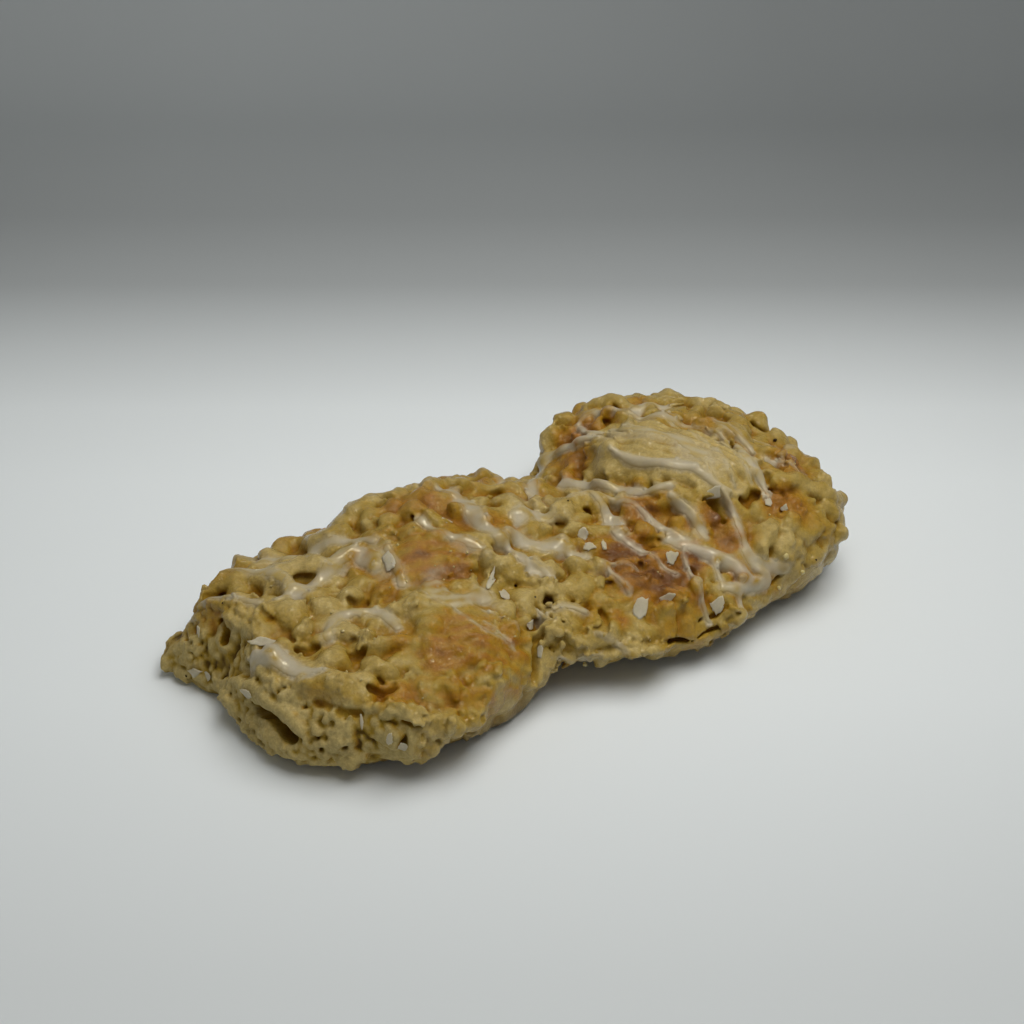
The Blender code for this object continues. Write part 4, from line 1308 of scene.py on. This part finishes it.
def tinted_material(name, roughness, grain_size, contrast, bump, sparkle, coat_roughness, subsurface):
    """The piece's tint, broken by fine grain that also paints shade into the bump's pits, whitened by thin
    icing, with a bumpy, uneven gloss.
    """
    nodes = NodeTree(name)
    shader = nodes.shader
    grain = nodes.noise(grain_size, 4)
    speckle = nodes.noise(grain_size * 0.4, 2)
    smear = nodes.noise(2.2, 3)
    # The grain that raises the bump darkens the tint where it is low: painted shade in the bump's pits.
    bump_pit_shade = nodes.varied(grain, 1 - contrast, 1 + contrast)
    fine_shade = nodes.varied(speckle, 1 - contrast * 0.5, 1 + contrast * 0.5)
    shade = nodes.maths("MULTIPLY", bump_pit_shade, fine_shade)
    scale = nodes.tree.nodes.new("ShaderNodeVectorMath")
    scale.operation = "SCALE"
    nodes.put(scale.inputs["Vector"], nodes.attribute("tint").outputs["Color"])
    nodes.put(scale.inputs["Scale"], shade)
    film_value = nodes.attribute("film").outputs["Fac"]
    ragged_film = nodes.maths("ADD", film_value, nodes.varied(smear, -0.22, 0.22))
    whiteness = nodes.ranged(ragged_film, 0.25, 0.85, 0.0, 0.45)
    mix = nodes.tree.nodes.new("ShaderNodeMix")
    mix.data_type = "RGBA"
    colour_a, colour_b, mixed_colour = mix.inputs[6], mix.inputs[7], mix.outputs[2]
    nodes.put(mix.inputs[0], whiteness)
    nodes.put(colour_a, scale.outputs["Vector"])
    nodes.put(colour_b, (*light_share(ICING_MILK), 1))
    nodes.put(shader.inputs["Base Color"], mixed_colour)
    nodes.put(shader.inputs["Roughness"], nodes.varied(grain, roughness + 0.12, roughness - 0.12))
    nodes.put(shader.inputs["Normal"], nodes.bump(grain, bump))
    nodes.put(shader.inputs["Coat Weight"], nodes.attribute("gloss").outputs["Fac"])
    nodes.put(shader.inputs["Coat Normal"], nodes.bump(nodes.noise(0.8, 2), sparkle))
    shader.inputs["Coat Roughness"].default_value = coat_roughness
    shader.inputs["Specular IOR Level"].default_value = SPECULAR_LEVEL
    shader.inputs["Subsurface Weight"].default_value = subsurface
    shader.inputs["Subsurface Radius"].default_value = SUBSURFACE_RADIUS
    shader.inputs["Subsurface Scale"].default_value = SUBSURFACE_SCALE
    return nodes.material


def finish_piece(piece, material):
    piece.data.materials.append(material)
    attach(piece, "root")
    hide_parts("danish")


dough_piece = make_piece("dough_and_streusel", *largest_parts(*surface_of(body), 0.9))
thin_out(dough_piece, DOUGH_TRIANGLES)
tint_crust(dough_piece)
finish_piece(dough_piece, tinted_material(
    "baked", roughness=0.55, grain_size=0.9, contrast=0.17, bump=0.25, sparkle=0.6, coat_roughness=0.12,
    subsurface=0.08,
))

icing_piece = make_piece("icing", *largest_parts(*surface_of(icing), LEAST_ICING))
thin_out(icing_piece, ICING_TRIANGLES)
tint_icing(icing_piece)
finish_piece(icing_piece, tinted_material(
    "icing", roughness=0.42, grain_size=1.2, contrast=0.04, bump=0.05, sparkle=0.05, coat_roughness=0.22,
    subsurface=0.2,
))

# ---- flakes, drops and loose grains ----


def surface_frame(x, y, base):
    """The place on the surface at a pixel, mm per pixel there, and its right, up and outward directions."""
    place, scale = cast(base, (x, y))
    normal = slopes(base, place[None], 1.5)[0]
    side = RIGHT - normal * np.dot(RIGHT, normal)
    side /= np.linalg.norm(side)
    return place, scale, side, np.cross(normal, side), normal


def flake_shell(x, y, width, height, turn, tilt, base):
    """Vertices and triangles of one thin shard that lies along the surface and lifts at one end."""
    place, scale, side, rise, normal = surface_frame(x, y, base)
    cosine, sine = math.cos(math.radians(turn)), math.sin(math.radians(turn))
    side, rise = side * cosine + rise * sine, rise * cosine - side * sine
    half = np.array([width, height * 1.25]) * scale / 2
    corners = int(picks.integers(5, 9))
    ways = (np.arange(corners) + picks.uniform(-0.32, 0.32, corners)) * 2 * math.pi / corners
    reaches = picks.uniform(0.6, 1.2, corners)
    tips = np.stack([reaches * np.cos(ways), reaches * np.sin(ways)], axis=1)
    count = FLAKE_POINTS
    outline = []
    for k in range(count):
        before, share = divmod(k * corners / count, 1)
        tip, next_tip = tips[int(before)], tips[(int(before) + 1) % corners]
        outline.append(tip * (1 - share) + next_tip * share + picks.uniform(-0.09, 0.09, 2))
    flat = [(0.0, 0.0)] + [tuple(ring * half * outline[k]) for ring in FLAKE_RINGS for k in range(count)]
    points = np.array(flat)
    thick = np.repeat(FLAKE_THICKNESS, (1 + 2 * count, count))
    spots = place + points[:, :1] * side + points[:, 1:] * rise
    ground = np.clip(-sample(flake_base, spots), -0.9, 0.9)
    bend = picks.uniform(-0.1, 0.1) * points[:, 0] ** 2
    tilted = tilt * half[1] * ((points[:, 1] / half[1] + 1) / 2) ** 2
    lifted = FLAKE_FOLLOWS * ground + FLAKE_LIFT + bend + tilted
    layers = [spots + (lifted + level * thick)[:, None] * normal for level in (1, -1)]
    total, faces = len(points), []
    for k in range(count):
        after = (k + 1) % count
        faces.append((0, 1 + k, 1 + after))
        for ring in range(2):
            a, b = 1 + ring * count + k, 1 + ring * count + after
            faces += [(a, a + count, b + count), (a, b + count, b)]
    lower = [(total + a, total + c, total + b) for a, b, c in faces]
    rim = 1 + 2 * count
    sides = []
    for k in range(count):
        a, b = rim + k, rim + (k + 1) % count
        sides += [(a, total + a, total + b), (a, total + b, b)]
    return np.concatenate(layers), np.array(faces + lower + sides)


def grain_shell(place, size):
    """Vertices and triangles of one irregular grain."""
    vertices = np.array(GRAIN_CORNERS) * picks.uniform(0.6, 1.0, (12, 1)) * size * picks.uniform(0.7, 1.3, 3)
    return place + vertices, np.array(GRAIN_FACES)


def grain_model():
    """Corners and faces of the solid that grains are made from."""
    builder = bmesh.new()
    bmesh.ops.create_icosphere(builder, subdivisions=1, radius=1)
    corners = [tuple(corner.co) for corner in builder.verts]
    faces = [[corner.index for corner in face.verts] for face in builder.faces]
    builder.free()
    return corners, faces


def gathered(shells):
    """One set of vertices and faces from several closed shells."""
    vertices, faces, total = [], [], 0
    for points, corners in shells:
        vertices.append(points)
        faces.append(corners + total)
        total += len(points)
    return np.concatenate(vertices), np.concatenate(faces)


def plain_tint(piece, colour, spread, gloss):
    """An even tint that varies a little from place to place."""
    points = places_of(piece)
    tone = 1 + spread * sample(lumpy, points) + spread * sample(finest, points)
    set_colours(piece, "tint", np.clip(light_share(colour) * tone[:, None], 0.002, 0.95))
    set_values(piece, "film", np.zeros(len(points)))
    set_values(piece, "gloss", np.full(len(points), gloss))


GRAIN_CORNERS, GRAIN_FACES = grain_model()
top = np.minimum(body, icing)
flake_base = blurred(top, 1.0)
flakes_piece = make_piece("flakes", *gathered([flake_shell(*flake, top) for flake in FLAKES]))
plain_tint(flakes_piece, FLAKE_WHITE, spread=0.06, gloss=0.15)
finish_piece(flakes_piece, tinted_material(
    "flake", roughness=0.5, grain_size=0.6, contrast=0.05, bump=0.05, sparkle=0.03, coat_roughness=0.3,
    subsurface=0.3,
))

grains = []
chances = np.clip(sample(granular, grain_points) * 1.2, 0.05, 1)
chances *= grain_points[:, 0] > tear_x(grain_points[:, 1]) + GRAINS_PAST_TEAR
for point in spread_points(chosen(grain_points, chances), GRAIN_SPACING, GRAIN_COUNT):
    outward = slopes(body, point[None])[0]
    place = point + outward * 0.05 - sample(body, point[None])[0] * outward
    grains.append(grain_shell(place, picks.uniform(*GRAIN_SIZE)))
for x, y, radius in DROPS:
    place, scale = cast(top, (x, y))
    grains.append(grain_shell(place, radius * scale))
crumbs_piece = make_piece("crumbs", *gathered(grains))
plain_tint(crumbs_piece, SUGAR, spread=0.2, gloss=0.6)
finish_piece(crumbs_piece, tinted_material(
    "loose_sugar", roughness=0.4, grain_size=0.5, contrast=0.1, bump=0.05, sparkle=0.05, coat_roughness=0.15,
    subsurface=0.3,
))

specks = [grain_shell(cast(top, (x, y))[0], radius * SPECK_SCALE) for x, y, radius in SPECKS]
specks_piece = make_piece("specks", *gathered(specks))
plain_tint(specks_piece, SPECK_BROWN, spread=0.1, gloss=0.1)
finish_piece(specks_piece, tinted_material(
    "burnt_specks", roughness=0.6, grain_size=0.4, contrast=0.2, bump=0.05, sparkle=0.03, coat_roughness=0.3,
    subsurface=0.0,
))

# ---- stage, light and camera ----


def paper_material():
    """Pale paper with painted light and shade, a little darker away from the front, as a lit sweep is."""
    nodes = NodeTree("paper")
    place = nodes.tree.nodes.new("ShaderNodeTexCoord").outputs["Object"]
    split = nodes.add("ShaderNodeSeparateXYZ", Vector=place)
    painted_falloff = nodes.tree.nodes.new("ShaderNodeValToRGB")
    # Painted light and shade along the sweep's depth.
    nodes.put(painted_falloff.inputs["Fac"], nodes.ranged(split.outputs["Y"], *PAPER_SPAN, 0.0, 1.0))
    stops = painted_falloff.color_ramp.elements
    for position, share in PAPER_PAINTED_LIGHT[1:-1]:
        stops.new(position)
    for stop, (position, share) in zip(stops, PAPER_PAINTED_LIGHT):
        stop.position = position
        stop.color = (*(np.array(PAPER) * share), 1)
    scale = nodes.tree.nodes.new("ShaderNodeVectorMath")
    scale.operation = "SCALE"
    nodes.put(scale.inputs["Vector"], painted_falloff.outputs["Color"])
    # Painted light and shade from the stage's left to its right.
    nodes.put(scale.inputs["Scale"], nodes.ranged(split.outputs["X"], *PAPER_PAINTED_SIDE_LIGHT))
    nodes.put(nodes.shader.inputs["Base Color"], scale.outputs["Vector"])
    nodes.shader.inputs["Roughness"].default_value = 0.7
    nodes.shader.inputs["Specular IOR Level"].default_value = 0.2
    return nodes.material


def make_stage():
    """A pale floor that curves up into a backdrop."""
    builder = bmesh.new()
    profile = [(STAGE_FRONT, 0.0), (STAGE_BEND_AT, 0.0)]
    for k in range(1, STAGE_BEND_STEPS + 1):
        angle = k / STAGE_BEND_STEPS * math.pi / 2
        profile.append((STAGE_BEND_AT + STAGE_BEND * math.sin(angle), STAGE_BEND * (1 - math.cos(angle))))
    profile.append((STAGE_BEND_AT + STAGE_BEND, STAGE_TOP))
    rows = []
    for along, up in profile:
        rows.append([builder.verts.new((side, along, up)) for side in (-STAGE_HALF_WIDTH, STAGE_HALF_WIDTH)])
    for (a, b), (c, d) in zip(rows, rows[1:]):
        builder.faces.new((a, b, d, c))
    mesh = bpy.data.meshes.new("backdrop")
    builder.to_mesh(mesh)
    builder.free()
    mesh.shade_smooth()
    stage = bpy.data.objects.new("backdrop", mesh)
    stage.rotation_euler = (0, 0, math.radians(STAGE_TURN))
    bpy.context.scene.collection.objects.link(stage)
    mesh.materials.append(paper_material())
    stage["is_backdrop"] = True


def add_area(name, place, size, power, colour=GLINT_COLOUR, spread=180, glints_only=True):
    """An area light that gives either the soft light or only the small glints."""
    light = bpy.data.lights.new(name, "AREA")
    light.shape = "RECTANGLE"
    light.size, light.size_y = size
    light.energy = power
    light.color = colour
    light.spread = math.radians(spread)
    lamp = bpy.data.objects.new(name, light)
    lamp.location = place
    lamp.rotation_euler = (-Vector(place)).to_track_quat("-Z", "Y").to_euler()
    lamp.visible_glossy = glints_only
    lamp.visible_diffuse = not glints_only
    bpy.context.scene.collection.objects.link(lamp)


def add_camera():
    """The camera at the photograph's place and angle."""
    data = bpy.data.cameras.new("camera")
    data.sensor_width = 36
    data.angle = math.radians(FIELD_OF_VIEW)
    camera = bpy.data.objects.new("camera", data)
    place = Vector((CAMERA_AT - np.array(CENTRING)) * MM)
    aim = Vector((CAMERA_AIM - np.array(CENTRING)) * MM)
    camera.location = place
    camera.rotation_euler = (aim - place).to_track_quat("-Z", "Y").to_euler()
    bpy.context.scene.collection.objects.link(camera)
    bpy.context.scene.camera = camera


make_stage()
add_area("overhead", **SOFT_LIGHT, glints_only=False)
for name, light in GLINTS.items():
    add_area(name, **light)
world = bpy.data.worlds.new("world")
world.use_nodes = True
background = world.node_tree.nodes["Background"]
background.inputs["Color"].default_value = WORLD_COLOUR
background.inputs["Strength"].default_value = WORLD_STRENGTH
bpy.context.scene.world = world
bpy.context.scene.view_settings.view_transform = "Standard"
add_camera()

sizes = {name: [list(map(float, p)) for p in box] for name, box in (("cad", cad_box), ("visual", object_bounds()))}
